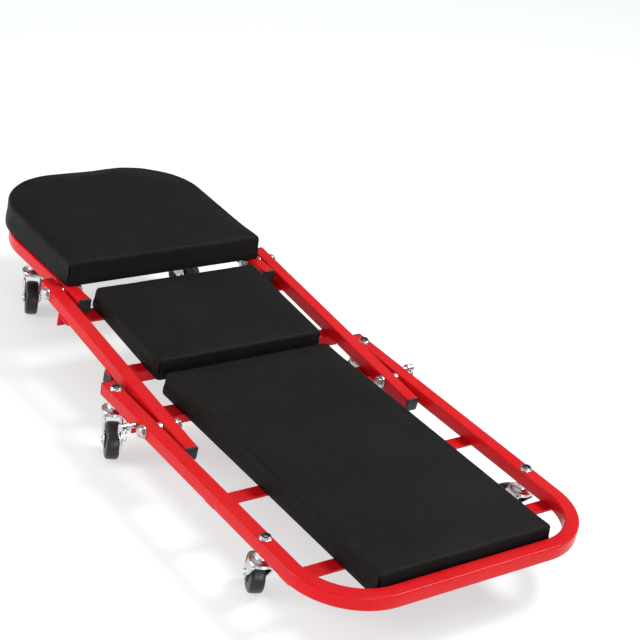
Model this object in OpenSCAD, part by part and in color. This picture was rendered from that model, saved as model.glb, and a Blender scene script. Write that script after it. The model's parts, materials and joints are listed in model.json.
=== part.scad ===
// Folding mechanic's creeper: a flat creeper that folds up into a Z-shaped seat.
// +X runs to the foot end, -Y is the right side of a person lying on it, Z = 0 is the floor.

/* [Frame tube] */
// Side of the square steel tube
tube = 19; // [17:0.5:22]
// Wall of the square steel tube
tube_wall = 1.5; // [1.2:0.1:2]
// Radius of the tube's outer corners
tube_corner = 2; // [1.5:0.5:2.5]

/* [Base frame] */
// Outside width of the base frame
base_w = 420; // [400:5:500]
// Length of the base frame from its open ends to the foot end
base_len = 525; // [500:5:620]
// How far the open ends reach past the lower pivot
base_open_reach = 110; // [100:2:115]
// Radius of the foot bends, at the middle of the tube
base_bend_r = 85; // [60:5:95]
// Clear gap between a base rail and the arm beside it
base_gap = 6; // [5:0.5:9]

/* [Arms] */
// Distance between the lower and the upper pivot
arm_span = 322; // [312:2:380]
// How far an arm runs past the lower pivot
arm_tail = 58; // [50:1:62]
// How far an arm runs past the upper pivot
arm_tip = 20; // [16:1:26]
// Slope of the arms when the creeper lies flat, in degrees
arm_rise = 5.6; // [4:0.2:6]
// Slope of the arms in the seat position, in degrees
seat_angle = 50.4; // [50:0.2:54]
// Distance of the cross tube from the lower pivot
cross_tube_u = 139; // [132:1:140]
// Distance from the rest angle's outer face to the upper pivot
rest_angle_back = 36; // [34:1:40]

/* [Head frame] */
// Length of the head frame
head_frame_len = 310; // [300:1:380]
// How far the head rails run past the upper pivot towards the foot
head_tail = 46; // [36:1:50]
// Radius of the head bends, at the middle of the tube
head_bend_r = 110; // [70:5:120]
// Clear gap between an arm and the head rail beside it
head_gap = 4; // [3:0.5:6]

/* [Flat steel] */
// Width of the flat straps under the base rails
strap_w = 20; // [18:1:26]
// Width of the flat strap that carries the head casters
head_strap_w = 26; // [22:1:30]
// Thickness of straps and angles
steel_t = 3; // [2:0.5:4]
// Place of the middle strap's centre, from the lower pivot
middle_strap_u = 156; // [130:1:180]
// Place of the foot strap's centre, from the lower pivot
foot_strap_u = 318; // [290:1:330]
// Width of the horizontal leg of both angles
angle_w = 28; // [24:1:30]

/* [Pads] */
// Clear gap between the narrower pads and the head rails beside them
pad_gap = 11; // [8:1:30]
// Thickness of the leg pad and the middle pad
pad_t = 33; // [28:1:36]
// Clear gap between the leg pad and the tube across the foot end
leg_pad_gap = 3; // [2:1:40]
// Distance from the lower pivot to the head edge of the leg pad
leg_pad_reach = 90; // [80:1:92]
// Distance from the lower pivot to the foot edge of the middle pad
mid_pad_u = 102; // [100:1:106]
// Distance from the head edge of the middle pad to the upper pivot
mid_pad_gap = 30; // [28:1:60]
// Reach of the head pad past the middle of the head rails
head_pad_lap = 4.5; // [2:0.5:6]
// Length of the head pad
head_pad_len = 278; // [260:1:340]
// Thickness of the head pad
head_pad_t = 38; // [30:1:42]
// How far the head pad reaches past the upper pivot towards the foot
head_pad_reach = 8; // [4:0.5:9]
// Radius of the head pad's two head corners
head_pad_r = 112; // [60:2:120]
// Radius of the other pad corners
pad_corner_r = 8; // [4:1:12]
// Thickness of the pad boards
board_t = 9; // [6:1:12]
// Thickness of the vinyl
vinyl_t = 1.2; // [1:0.1:1.5]

/* [Casters] */
// Height of a caster from the floor to the face that it bolts to
caster_h = 70; // [68:1:76]
// Wheel diameter
wheel_d = 50; // [46:1:50]
// Wheel width
wheel_w = 18; // [16:1:20]
// Offset of the axle behind the swivel axis
caster_trail = 22; // [20:1:23]
// Place of the foot casters, from the lower pivot
foot_caster_u = 265; // [240:1:280]
// Place of the open end casters, towards the head from the lower pivot
open_caster_u = 91; // [88:1:94]
// Place of the head casters, towards the head from the upper pivot
head_caster_u = 164; // [160:1:170]
// Distance from the middle of a head rail in to the head caster beside it
head_caster_in = 30.5; // [29:0.5:40]

/* [Bolts and pins] */
// Diameter of the pivot bolts
bolt_d = 8; // [8:0.5:9]
// Diameter of the lock pins
pin_d = 7; // [6:0.5:7]
// Travel of the lock pins
pin_travel = 13; // [11:1:13]
// Diameter of the caster stems
stem_d = 10; // [8:1:10]
// Diameter of the pad screws
screw_d = 4; // [3.5:0.5:5]

/* [Hidden] */
$fn = 48;

powder_red = [0.78, 0.06, 0.08];
plug_black = [0.08, 0.08, 0.08];
vinyl_black = [0.11, 0.11, 0.11];
foam_cream = [0.86, 0.8, 0.62];
board_tan = [0.62, 0.47, 0.3];
zinc = [0.75, 0.76, 0.78];

running = 0.05;      // radial clearance of a shaft that turns or slides in its hole
loose = 0.1;         // radial clearance of a bolt in a plain hole
air = 0.3;           // gap between faces of two moving bodies
plug_plate = 3;      // visible plate of an end plug
plug_depth = 12;     // part of an end plug inside the tube
washer_t = 1.6;
washer_r = bolt_d / 2 + 5;
hex_af = bolt_d * 1.75;          // across flats of the pivot bolts
hex_r = hex_af / 2 / cos(30);
head_h = bolt_d * 0.65;
nut_h = bolt_d * 0.8;

rail_z = caster_h + tube / 2;                         // middle of the base tubes
base_y = base_w / 2 - tube / 2;                       // middle of a base rail
arm_y = base_w / 2 - tube - base_gap - tube / 2;      // middle of an arm
head_y = arm_y - tube - head_gap;                     // middle of a head rail
head_w = 2 * (head_y + tube / 2);                     // outside width of the head frame
head_caster_y = head_y - head_caster_in;
rest_angle_u = arm_span - rest_angle_back;            // rest angle's outer face from the lower pivot
pad_w = 2 * (head_y - tube / 2 - pad_gap);            // width of the leg pad and the middle pad
leg_pad_len = base_len - base_open_reach - tube - leg_pad_gap + leg_pad_reach;
mid_pad_len = arm_span - mid_pad_u - mid_pad_gap;
head_pad_w = 2 * (head_y + head_pad_lap);
rise = arm_span * sin(arm_rise);                      // head frame above the base frame
head_z = rail_z + rise;
upper_u = arm_span * cos(arm_rise);                   // upper pivot from the lower pivot, along X
foot_end = base_len - base_open_reach;
head_pad_end = upper_u - head_pad_reach + head_pad_len;
head_frame_end = upper_u - head_tail + head_frame_len;
pivot_x = (max(head_pad_end, head_frame_end) - foot_end) / 2;   // puts X = 0 at mid-length
upper_x = pivot_x - upper_u;
fold_range = 180 - arm_rise - seat_angle;             // turn of the arms from flat to seat
pin_r = pin_d / 2;
pin_u = (tube / 2 + pin_r + 0.4) / sin(seat_angle);   // lock pin from the lower pivot
pin_x = pivot_x - pin_u;
pin_tip_gap = 0.8;                                    // drawn pin's tip to the arm

// the stop angle's leg meets the arm tails, and the rest angle's leg meets the head rails, in the seat position
stop_leg = 9;
stop_leg_u = (tube / 2 + (tube / 2 + steel_t + stop_leg) * cos(seat_angle)) / sin(seat_angle) + 0.6;
rest_leg = (sin(seat_angle) * (arm_span - rest_angle_u) - tube / 2) / cos(seat_angle) - tube / 2 - 0.4;

wheel_r = wheel_d / 2;
hub_len = wheel_w + 2;
fork_gap = hub_len + 1;
fork_t = 2.2;
crown_z = wheel_d + 4.5;
race_z = crown_z + 2.5 + 0.4;
axle_r = 3;
king_r = 4;
wire_r = 1.1;
ring_r = 9.5;

head_caster_x = upper_x - head_caster_u;

// X and Y of each swivel axis, and the direction in which the wheel trails, in degrees from +X
casters = [
    [pivot_x + foot_caster_u, -base_y, 155], [pivot_x + foot_caster_u, base_y, 170],
    [pivot_x - open_caster_u, -base_y, -25], [pivot_x - open_caster_u, base_y, 20],
    [head_caster_x, -head_caster_y, -25], [head_caster_x, head_caster_y, 30]];

// ---- shared shapes ----

module soft_square(size, r) {
    square([size, size - 2 * r], center = true);
    square([size - 2 * r, size], center = true);
    for (x = [-1, 1], y = [-1, 1]) translate([x, y] * (size / 2 - r)) circle(r);
}

module tube_section() {
    difference() {
        soft_square(tube, tube_corner);
        square(tube - 2 * tube_wall, center = true);
    }
}

module along_x(length) rotate([90, 0, 90]) linear_extrude(length) children();
module along_y(length) rotate([-90, 0, 0]) linear_extrude(length) children();
module rod_y(r, length, center = true) rotate([-90, 0, 0]) cylinder(r = r, h = length, center = center);

// U-shaped square tube: open at X = 0, closed at X = length
module u_tube(width, length, bend_r) {
    y = width / 2 - tube / 2;
    straight = length - tube / 2 - bend_r;
    for (s = [-1, 1]) {
        translate([0, s * y, 0]) along_x(straight) tube_section();
        translate([straight, s * (y - bend_r), 0]) rotate([0, 0, s < 0 ? -90 : 0])
            rotate_extrude(angle = 90) translate([bend_r, 0]) tube_section();
    }
    translate([length - tube / 2, -(y - bend_r), 0]) along_y(2 * (y - bend_r)) tube_section();
}

// end plug: plate on the side of -X, insert towards +X
module end_plug() {
    translate([-plug_plate, 0, 0]) along_x(plug_plate) soft_square(tube, tube_corner);
    along_x(plug_depth) difference() {
        soft_square(tube - 2 * tube_wall - 0.2, 1);
        square(tube - 2 * tube_wall - 4, center = true);
    }
}

// places children in the arms' own frame: origin on the lower pivot, -X along the arms to the head
module on_arms() translate([pivot_x, 0, rail_z]) rotate([0, arm_rise, 0]) children();

module arm(s) {
    arm_len = arm_span + arm_tip + arm_tail;
    difference() {
        on_arms() difference() {
            translate([arm_tail - arm_len, s * arm_y, 0]) along_x(arm_len) tube_section();
            translate([0, s * arm_y, 0]) rod_y(bolt_d / 2 + running, tube + 2);
            translate([-arm_span, s * arm_y, 0]) rod_y(bolt_d / 2 + loose, tube + 2);
        }
        translate([pin_x, s * (arm_y + tube / 2), rail_z]) rod_y(pin_r + air, tube);
    }
}

// plan of a pad: foot edge at X = 0, head edge at X = -length, grown by inset below zero
module pad_plan(width, length, head_r, foot_r, inset = 0) {
    w = width / 2 - inset;
    x1 = -inset;
    x0 = inset - length;
    hr = head_r - inset;
    fr = max(foot_r - inset, 1);
    translate([x0 + hr, -w]) square([x1 - fr - x0 - hr, 2 * w]);
    translate([x0, hr - w]) square([hr, 2 * (w - hr)]);
    translate([x1 - fr, fr - w]) square([fr, 2 * (w - fr)]);
    for (s = [-1, 1]) {
        translate([x0 + hr, s * (w - hr)]) circle(hr);
        translate([x1 - fr, s * (w - fr)]) circle(fr);
    }
}

flap = 26;     // width of the vinyl folded under a board

module pad_cover(width, length, thick, head_r) {
    color(vinyl_black) difference() {
        linear_extrude(thick) pad_plan(width, length, head_r, pad_corner_r);
        translate([0, 0, vinyl_t]) linear_extrude(thick - 2 * vinyl_t)
            pad_plan(width, length, head_r, pad_corner_r, vinyl_t);
        translate([0, 0, -1]) linear_extrude(vinyl_t + 2)
            pad_plan(width, length, max(head_r, flap + 4), pad_corner_r, flap);
    }
}

module pad_foam(width, length, thick, head_r) {
    color(foam_cream) translate([0, 0, vinyl_t + board_t])
        linear_extrude(thick - 2 * vinyl_t - board_t)
            pad_plan(width, length, head_r, pad_corner_r, vinyl_t + 0.1);
}

// holes is a list of [x, y] places for screws that come up from below
module pad_board(width, length, head_r, holes) {
    color(board_tan) difference() {
        translate([0, 0, vinyl_t]) linear_extrude(board_t)
            pad_plan(width, length, head_r, pad_corner_r, vinyl_t + 0.1);
        for (h = holes) translate([h[0], h[1], vinyl_t - 1]) cylinder(r = screw_d / 2 + running, h = board_t);
    }
}

// screw with its pan head's top face at Z = 0 and its shank up to the given height
module pan_screw(height) {
    color(zinc) {
        cylinder(r = screw_d / 2, h = height);
        translate([0, 0, -2.4]) cylinder(r1 = screw_d * 0.85, r2 = screw_d * 1.1, h = 2.4);
    }
}

module washer(r, hole_r, t) {
    color(zinc) rotate([-90, 0, 0]) difference() {
        cylinder(r = r, h = t);
        translate([0, 0, -1]) cylinder(r = hole_r, h = t + 2);
    }
}

// pivot bolt on the right side: hex head outside at Y = outer, shank end at Y = inner
module pivot_bolt(outer, inner) {
    color(zinc) {
        translate([0, outer - head_h, 0]) rotate([-90, 0, 0]) intersection() {
            cylinder(r = hex_r, h = head_h, $fn = 6);
            rotate_extrude() polygon([[0, 0], [hex_af * 0.47, 0], [hex_r + 0.1, 1.3], [hex_r + 0.1, head_h], [0, head_h]]);
        }
        translate([0, outer - 0.2, 0]) rod_y(bolt_d / 2, inner - outer + 0.2, false);
    }
}

module pivot_nut() {
    color(zinc) rotate([-90, 0, 0]) difference() {
        cylinder(r = hex_r - 0.5, h = nut_h, $fn = 6);
        translate([0, 0, -1]) cylinder(r = bolt_d / 2 + running, h = nut_h + 2);
    }
}

// mirrors a right-side piece to both sides
module both_sides() {
    children();
    mirror([0, 1, 0]) children();
}

// ---- base ----

module base_frame() {
    color(powder_red) difference() {
        translate([pivot_x - base_open_reach, 0, rail_z]) u_tube(base_w, base_len, base_bend_r);
        for (s = [-1, 1]) {
            translate([pivot_x, s * base_y, rail_z]) rod_y(bolt_d / 2 + loose, tube + 2);
            translate([pin_x, s * base_y, rail_z]) rod_y(pin_r + running, tube + 2);
            for (x = [pivot_x + foot_caster_u, pivot_x - open_caster_u])
                translate([x, s * base_y, caster_h - 1]) cylinder(r = stem_d / 2 + loose, h = tube + 2);
        }
    }
}

module base_end_plugs() {
    color(plug_black) for (s = [-1, 1])
        translate([pivot_x - base_open_reach, s * base_y, rail_z]) end_plug();
}

leg_screw_y = pad_w / 2 - flap - 8;

// flat strap under the base rails, with two screw holes
module base_strap(u) {
    color(powder_red) difference() {
        translate([pivot_x + u - strap_w / 2, 3 - base_w / 2, caster_h - steel_t])
            cube([strap_w, base_w - 6, steel_t]);
        for (s = [-1, 1]) translate([pivot_x + u, s * leg_screw_y, caster_h - steel_t - 1])
            cylinder(r = screw_d / 2 + loose, h = steel_t + 2);
    }
}

module foot_strap() base_strap(foot_strap_u);
module middle_strap() base_strap(middle_strap_u);

// angle under the base rails: its leg hangs down and stops the arms in the seat position
module stop_angle() {
    stop_w = min(angle_w, open_caster_u - 20 - stop_leg_u);
    color(powder_red) difference() {
        union() {
            translate([pivot_x - stop_leg_u - stop_w, 3 - base_w / 2, caster_h - steel_t])
                cube([stop_w, base_w - 6, steel_t]);
            translate([pivot_x - stop_leg_u - steel_t, 3 - base_w / 2, caster_h - steel_t - stop_leg])
                cube([steel_t, base_w - 6, stop_leg + steel_t / 2]);
        }
        for (s = [-1, 1]) translate([leg_screw_x()[2], s * leg_screw_y, caster_h - steel_t - 1])
            cylinder(r = screw_d / 2 + loose, h = steel_t + 2);
    }
}

// X places of the leg pad's screws
function leg_screw_x() = [pivot_x + foot_strap_u, pivot_x + middle_strap_u, pivot_x - stop_leg_u - steel_t - 9];

module at_leg_pad() translate([pivot_x + leg_pad_len - leg_pad_reach, 0, caster_h]) children();
leg_pad_edge = pivot_x + leg_pad_len - leg_pad_reach;

module leg_pad_board() at_leg_pad() pad_board(pad_w, leg_pad_len, pad_corner_r,
    [for (x = leg_screw_x(), s = [-1, 1]) [x - leg_pad_edge, s * leg_screw_y]]);
module leg_pad_foam() at_leg_pad() pad_foam(pad_w, leg_pad_len, pad_t, pad_corner_r);
module leg_pad_cover() at_leg_pad() pad_cover(pad_w, leg_pad_len, pad_t, pad_corner_r);

module leg_pad_screws() {
    for (x = leg_screw_x(), s = [-1, 1])
        translate([x, s * leg_screw_y, caster_h - steel_t]) pan_screw(steel_t + vinyl_t + board_t - 2);
}

module lower_pivot_bolts() both_sides() translate([pivot_x, 0, rail_z])
    pivot_bolt(-base_w / 2 - washer_t, -(arm_y - tube / 2) + air + washer_t + nut_h + 1.5);

module lower_pivot_washers() both_sides() translate([pivot_x, 0, rail_z]) {
    translate([0, -base_w / 2 - washer_t, 0]) washer(washer_r, bolt_d / 2 + running, washer_t);
    translate([0, -(base_w / 2 - tube), 0]) washer(washer_r - 1, bolt_d / 2 + running, base_gap - air);
    translate([0, -(arm_y - tube / 2) + air, 0]) washer(washer_r, bolt_d / 2 + running, washer_t);
}

module lower_pivot_nuts() both_sides()
    translate([pivot_x, -(arm_y - tube / 2) + air + washer_t, rail_z]) pivot_nut();

// ---- arms and middle pad ----

module right_arm() color(powder_red) arm(-1);
module left_arm() color(powder_red) arm(1);

module arm_end_plugs() {
    color(plug_black) on_arms() for (s = [-1, 1]) {
        translate([-arm_span - arm_tip, s * arm_y, 0]) end_plug();
        translate([arm_tail, s * arm_y, 0]) mirror([1, 0, 0]) end_plug();
    }
}

cross_half = arm_y + tube / 2 - plug_plate;     // half length of the cross tube without its plugs

module cross_tube() {
    color(powder_red) on_arms() difference() {
        translate([-cross_tube_u, -cross_half, -tube]) along_y(2 * cross_half) tube_section();
        translate([-cross_tube_u, 0, -2 * tube]) cylinder(r = screw_d / 2 + loose, h = 2 * tube);
        translate([-cross_tube_u, 0, -1.5 * tube - 1]) cylinder(r = screw_d * 1.3, h = 1 + tube_wall);
    }
}

module cross_tube_plugs() {
    color(plug_black) on_arms() both_sides()
        translate([-cross_tube_u, -cross_half, -tube]) rotate([0, 0, 90]) end_plug();
}

// angle under the arms near the head: its leg carries the head rails in the seat position
module rest_angle() {
    half = arm_y + tube / 2;
    color(powder_red) on_arms() difference() {
        union() {
            translate([-rest_angle_u, -half, -tube / 2 - steel_t]) cube([angle_w, 2 * half, steel_t]);
            translate([-rest_angle_u, -half, -tube / 2 - rest_leg]) cube([steel_t, 2 * half, rest_leg]);
        }
        for (s = [-1, 1]) translate([rest_screw_x, s * mid_screw_y, -tube])
            cylinder(r = screw_d / 2 + loose, h = tube);
    }
}

rest_screw_x = -rest_angle_u + angle_w / 2;
mid_screw_y = pad_w / 2 - flap - 8;
mid_screws = [[rest_screw_x, -mid_screw_y], [rest_screw_x, mid_screw_y], [-cross_tube_u, 0]];

module at_mid_pad() on_arms() translate([-mid_pad_u, 0, -tube / 2]) children();
module mid_pad_board() at_mid_pad() pad_board(pad_w, mid_pad_len, pad_corner_r,
    [for (h = mid_screws) [h[0] + mid_pad_u, h[1]]]);
module mid_pad_foam() at_mid_pad() pad_foam(pad_w, mid_pad_len, pad_t, pad_corner_r);
module mid_pad_cover() at_mid_pad() difference() {
    pad_cover(pad_w, mid_pad_len, pad_t, pad_corner_r);
    for (h = mid_screws) translate([h[0] + mid_pad_u, h[1], -1])
        cylinder(r = screw_d / 2 + loose, h = vinyl_t + 1.5);
}

module mid_pad_screws() {
    on_arms() {
        for (i = [0, 1]) translate([mid_screws[i][0], mid_screws[i][1], -tube / 2 - steel_t])
            pan_screw(steel_t + vinyl_t + board_t - 2);
        translate([-cross_tube_u, 0, -tube / 2 - tube + tube_wall]) pan_screw(tube - tube_wall + vinyl_t + board_t - 2);
    }
}

module at_upper_pivot() translate([upper_x, 0, head_z]) children();

module upper_pivot_bolts() both_sides() at_upper_pivot()
    pivot_bolt(-(arm_y + tube / 2) - washer_t, -(head_y - tube / 2) + air + washer_t + nut_h + 1.5);

module upper_pivot_washers() both_sides() at_upper_pivot() {
    translate([0, -(arm_y + tube / 2) - washer_t, 0]) washer(washer_r, bolt_d / 2 + running, washer_t);
    translate([0, -(arm_y - tube / 2), 0]) washer(washer_r - 1, bolt_d / 2 + running, head_gap - air);
    translate([0, -(head_y - tube / 2) + air, 0]) washer(washer_r - 1, bolt_d / 2 + running, washer_t);
}

module upper_pivot_nuts() both_sides() at_upper_pivot()
    translate([0, -(head_y - tube / 2) + air + washer_t, 0]) pivot_nut();

// ---- head frame and head pad ----

head_screw_x = [upper_x - 30, head_caster_x + 29];     // X places of the screws through the head rails

module head_frame() {
    color(powder_red) difference() {
        translate([upper_x + head_tail, 0, head_z]) rotate([0, 0, 180])
            u_tube(head_w, head_frame_len, head_bend_r);
        for (s = [-1, 1]) {
            translate([upper_x, s * head_y, head_z]) rod_y(bolt_d / 2 + running, tube + 2);
            for (x = head_screw_x) translate([x, s * head_y, head_z - tube])
                cylinder(r = screw_d / 2 + loose, h = 2 * tube);
        }
    }
}

module head_end_plugs() {
    color(plug_black) for (s = [-1, 1])
        translate([upper_x + head_tail, s * head_y, head_z]) mirror([1, 0, 0]) end_plug();
}

head_rail_bottom = head_z - tube / 2;

// flat strap under the head rails, just short of their outer faces where they start to bend
module head_caster_strap() {
    bend_x = upper_x + head_tail - head_frame_len + tube / 2 + head_bend_r;
    into_bend = max(0, bend_x - head_caster_x + head_strap_w / 2);
    bend_outer_r = head_bend_r + tube / 2;
    strap_half = head_y - head_bend_r + sqrt(pow(bend_outer_r, 2) - pow(into_bend, 2)) - 2;
    color(powder_red) difference() {
        translate([head_caster_x - head_strap_w / 2, -strap_half, head_rail_bottom - steel_t])
            cube([head_strap_w, 2 * strap_half, steel_t]);
        for (s = [-1, 1]) translate([head_caster_x, s * head_caster_y, head_rail_bottom - steel_t - 1])
            cylinder(r = stem_d / 2 + loose, h = steel_t + 2);
    }
}

module at_head_pad() translate([upper_x + head_pad_reach, 0, head_z + tube / 2]) children();
module head_pad_board() at_head_pad() pad_board(head_pad_w, head_pad_len, head_pad_r,
    [for (x = head_screw_x, s = [-1, 1]) [x - upper_x - head_pad_reach, s * head_y]]);
module head_pad_foam() at_head_pad() pad_foam(head_pad_w, head_pad_len, head_pad_t, head_pad_r);

module head_pad_cover() {
    difference() {
        at_head_pad() pad_cover(head_pad_w, head_pad_len, head_pad_t, head_pad_r);
        for (x = head_screw_x, s = [-1, 1]) translate([x, s * head_y, head_z])
            cylinder(r = screw_d / 2 + loose, h = tube / 2 + vinyl_t + 0.5);
    }
}

module head_pad_screws() {
    for (x = head_screw_x, s = [-1, 1])
        translate([x, s * head_y, head_rail_bottom]) pan_screw(tube + vinyl_t + board_t - 2);
}

module head_caster_spacers() {
    color(zinc) for (s = [-1, 1]) translate([head_caster_x, s * head_caster_y, caster_h]) difference() {
        cylinder(r = stem_d / 2 + 3.5, h = head_rail_bottom - steel_t - caster_h);
        translate([0, 0, -1]) cylinder(r = stem_d / 2 + loose, h = head_rail_bottom);
    }
}

// ---- casters ----

stem_nut_h = 4;

// flange nut on a caster stem, standing on Z = 0
module stem_nut() {
    color(zinc) difference() {
        union() {
            cylinder(r1 = stem_d / 2 + 3.2, r2 = stem_d / 2 + 2.8, h = 1.4);
            cylinder(r = stem_d / 2 + 2, h = stem_nut_h, $fn = 6);
        }
        translate([0, 0, -1]) cylinder(r = stem_d / 2 + running, h = stem_nut_h + 2);
    }
}

// swivel top: kingpin and its rivet head below the fork, race above it, stem up to top_z
module caster_stem(top_z) {
    color(zinc) {
        translate([0, 0, crown_z - 2.4]) cylinder(r = king_r + 2.3, h = 2);
        translate([0, 0, crown_z - 1]) cylinder(r = king_r, h = 4.5);
        rotate_extrude() polygon([[0, race_z], [15, race_z], [16, race_z + 1.2], [15, race_z + 3],
            [9, race_z + 5.2], [8.2, race_z + 6.5], [8.2, caster_h], [0, caster_h]]);
        translate([0, 0, caster_h - 1]) cylinder(r = stem_d / 2, h = top_z - caster_h + 1);
    }
}

module base_caster_stems() {
    for (i = [0 : 3]) translate([casters[i][0], casters[i][1], 0])
        caster_stem(caster_h + tube + stem_nut_h + 0.5);
}

module base_caster_nuts() {
    for (i = [0 : 3]) translate([casters[i][0], casters[i][1], caster_h + tube]) stem_nut();
}

module head_caster_stems() {
    for (i = [4, 5]) translate([casters[i][0], casters[i][1], 0])
        caster_stem(head_rail_bottom + stem_nut_h + 0.5);
}

module head_caster_nuts() {
    for (i = [4, 5]) translate([casters[i][0], casters[i][1], head_rail_bottom]) stem_nut();
}

// places children at caster i: origin on the floor under the swivel axis, +X along the trail
module at_caster(i) translate([casters[i][0], casters[i][1], 0]) rotate([0, 0, casters[i][2]]) children();

// point where the line from p touches the circle of radius r about c, on the given side
function touch(p, c, r, side) =
    let (v = c - p, d = norm(v), a = atan2(v[1], v[0]) + side * asin(r / d))
    p + sqrt(d * d - r * r) * [cos(a), sin(a)];

module fork_leg() {
    c = [caster_trail, wheel_r];
    top = crown_z + 2.5;
    back = [-13, top - 7];
    front = [15, top - 2];
    linear_extrude(fork_t) {
        polygon([[-13, top], back, touch(back, c, 7, -1), c, touch(front, c, 7, 1), front, [13, top]]);
        translate(c) circle(7);
    }
}

module caster_fork(i) {
    half = fork_gap / 2 + fork_t;
    color(zinc) at_caster(i) difference() {
        union() {
            translate([-13, -half, crown_z]) cube([26, 2 * half, 2.5]);
            translate([0, 0, crown_z]) cylinder(r = 14.5, h = 2.5);
            for (y = [-fork_gap / 2, half]) translate([0, y, 0]) rotate([90, 0, 0]) fork_leg();
        }
        translate([0, 0, crown_z - 1]) cylinder(r = king_r + running, h = 5);
        translate([caster_trail, 0, wheel_r]) rod_y(axle_r + loose, 2 * half + 4);
    }
}

module caster_axle(i) {
    half = fork_gap / 2 + fork_t;
    color(zinc) at_caster(i) translate([caster_trail, 0, wheel_r]) {
        rod_y(axle_r, 2 * half + 2);
        for (s = [-1, 1]) translate([0, s * (half + 1), 0]) rotate([s * -90, 0, 0])
            translate([0, 0, -1]) cylinder(r1 = axle_r + 2.2, r2 = axle_r + 1.2, h = 2.4);
    }
}

module caster_wheel(i) {
    edge = 3;
    color(plug_black) at_caster(i) translate([caster_trail, 0, wheel_r]) rotate([90, 0, 0])
        rotate_extrude($fn = 96) {
            translate([axle_r + running, -hub_len / 2]) square([6, hub_len]);
            translate([8, -wheel_w / 2 + 2.5]) square([wheel_r - 16, wheel_w - 5]);
            translate([wheel_r - 9, -wheel_w / 2]) square([9 - edge, wheel_w]);
            translate([wheel_r - edge - 1, edge - wheel_w / 2]) square([edge + 1, wheel_w - 2 * edge]);
            for (s = [-1, 1]) translate([wheel_r - edge, s * (wheel_w / 2 - edge)]) circle(edge);
        }
}

// ---- lock pins ----

pin_out = base_w / 2 + pin_travel + 1.6;     // inner face of the pin's knob when the pin is drawn
knob_len = 9;
knob_r = 5;

// lock pin of the right side, drawn back so that the arms are free
module lock_pin() {
    color(zinc) translate([pin_x, 0, rail_z]) difference() {
        union() {
            translate([0, -pin_out, 0]) rod_y(pin_r, pin_out - (arm_y + tube / 2) - pin_tip_gap, false);
            translate([0, -pin_out - knob_len, 0]) rod_y(knob_r, knob_len, false);
            translate([0, -pin_out, 0]) rod_y(knob_r + 1, 1.5, false);
        }
        translate([0, -pin_out - knob_len / 2, 0]) rotate([0, 90, 0]) cylinder(r = 2.7, h = 20, center = true);
    }
}

module right_lock_pin() lock_pin();
module left_lock_pin() mirror([0, 1, 0]) lock_pin();

// wire ring through the knob, and the spring clip that hangs from it
module pull_ring(side) {
    loop_r = 2.4;
    clip_r = 0.7;
    clip_len = 15;
    color(zinc) translate([pin_x, side * (pin_out + knob_len / 2), rail_z]) {
        translate([0, 0, -ring_r]) rotate([90, 0, 0]) rotate_extrude() translate([ring_r, 0]) circle(wire_r);
        translate([0, 0, -2 * ring_r - loop_r + wire_r + clip_r + 0.2]) {
            rotate([0, 90, 0]) rotate_extrude() translate([loop_r, 0]) circle(clip_r);
            for (s = [-1, 1]) translate([0, s * 1.3, -loop_r - clip_len]) cylinder(r = clip_r, h = clip_len + 0.4);
        }
    }
}

module right_pull_ring() pull_ring(-1);
module left_pull_ring() pull_ring(1);

base_frame();
base_end_plugs();
foot_strap();
middle_strap();
stop_angle();
leg_pad_board();
leg_pad_foam();
leg_pad_cover();
leg_pad_screws();
lower_pivot_bolts();
lower_pivot_washers();
lower_pivot_nuts();
base_caster_stems();
base_caster_nuts();
right_arm();
left_arm();
arm_end_plugs();
cross_tube();
cross_tube_plugs();
rest_angle();
mid_pad_board();
mid_pad_foam();
mid_pad_cover();
mid_pad_screws();
upper_pivot_bolts();
upper_pivot_washers();
upper_pivot_nuts();
head_frame();
head_end_plugs();
head_caster_strap();
head_pad_board();
head_pad_foam();
head_pad_cover();
head_pad_screws();
head_caster_stems();
head_caster_spacers();
head_caster_nuts();
right_lock_pin();
left_lock_pin();
right_pull_ring();
left_pull_ring();
caster_fork(0);  // foot_right_fork
caster_axle(0);  // foot_right_axle
caster_wheel(0);  // foot_right_wheel
caster_fork(1);  // foot_left_fork
caster_axle(1);  // foot_left_axle
caster_wheel(1);  // foot_left_wheel
caster_fork(2);  // middle_right_fork
caster_axle(2);  // middle_right_axle
caster_wheel(2);  // middle_right_wheel
caster_fork(3);  // middle_left_fork
caster_axle(3);  // middle_left_axle
caster_wheel(3);  // middle_left_wheel
caster_fork(4);  // head_right_fork
caster_axle(4);  // head_right_axle
caster_wheel(4);  // head_right_wheel
caster_fork(5);  // head_left_fork
caster_axle(5);  // head_left_axle
caster_wheel(5);  // head_left_wheel
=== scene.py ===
# Looks of a folding mechanic's creeper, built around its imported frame. Lengths are in metres.
import json
import math
import bpy
import numpy as np
from mathutils import Matrix, Vector


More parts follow.
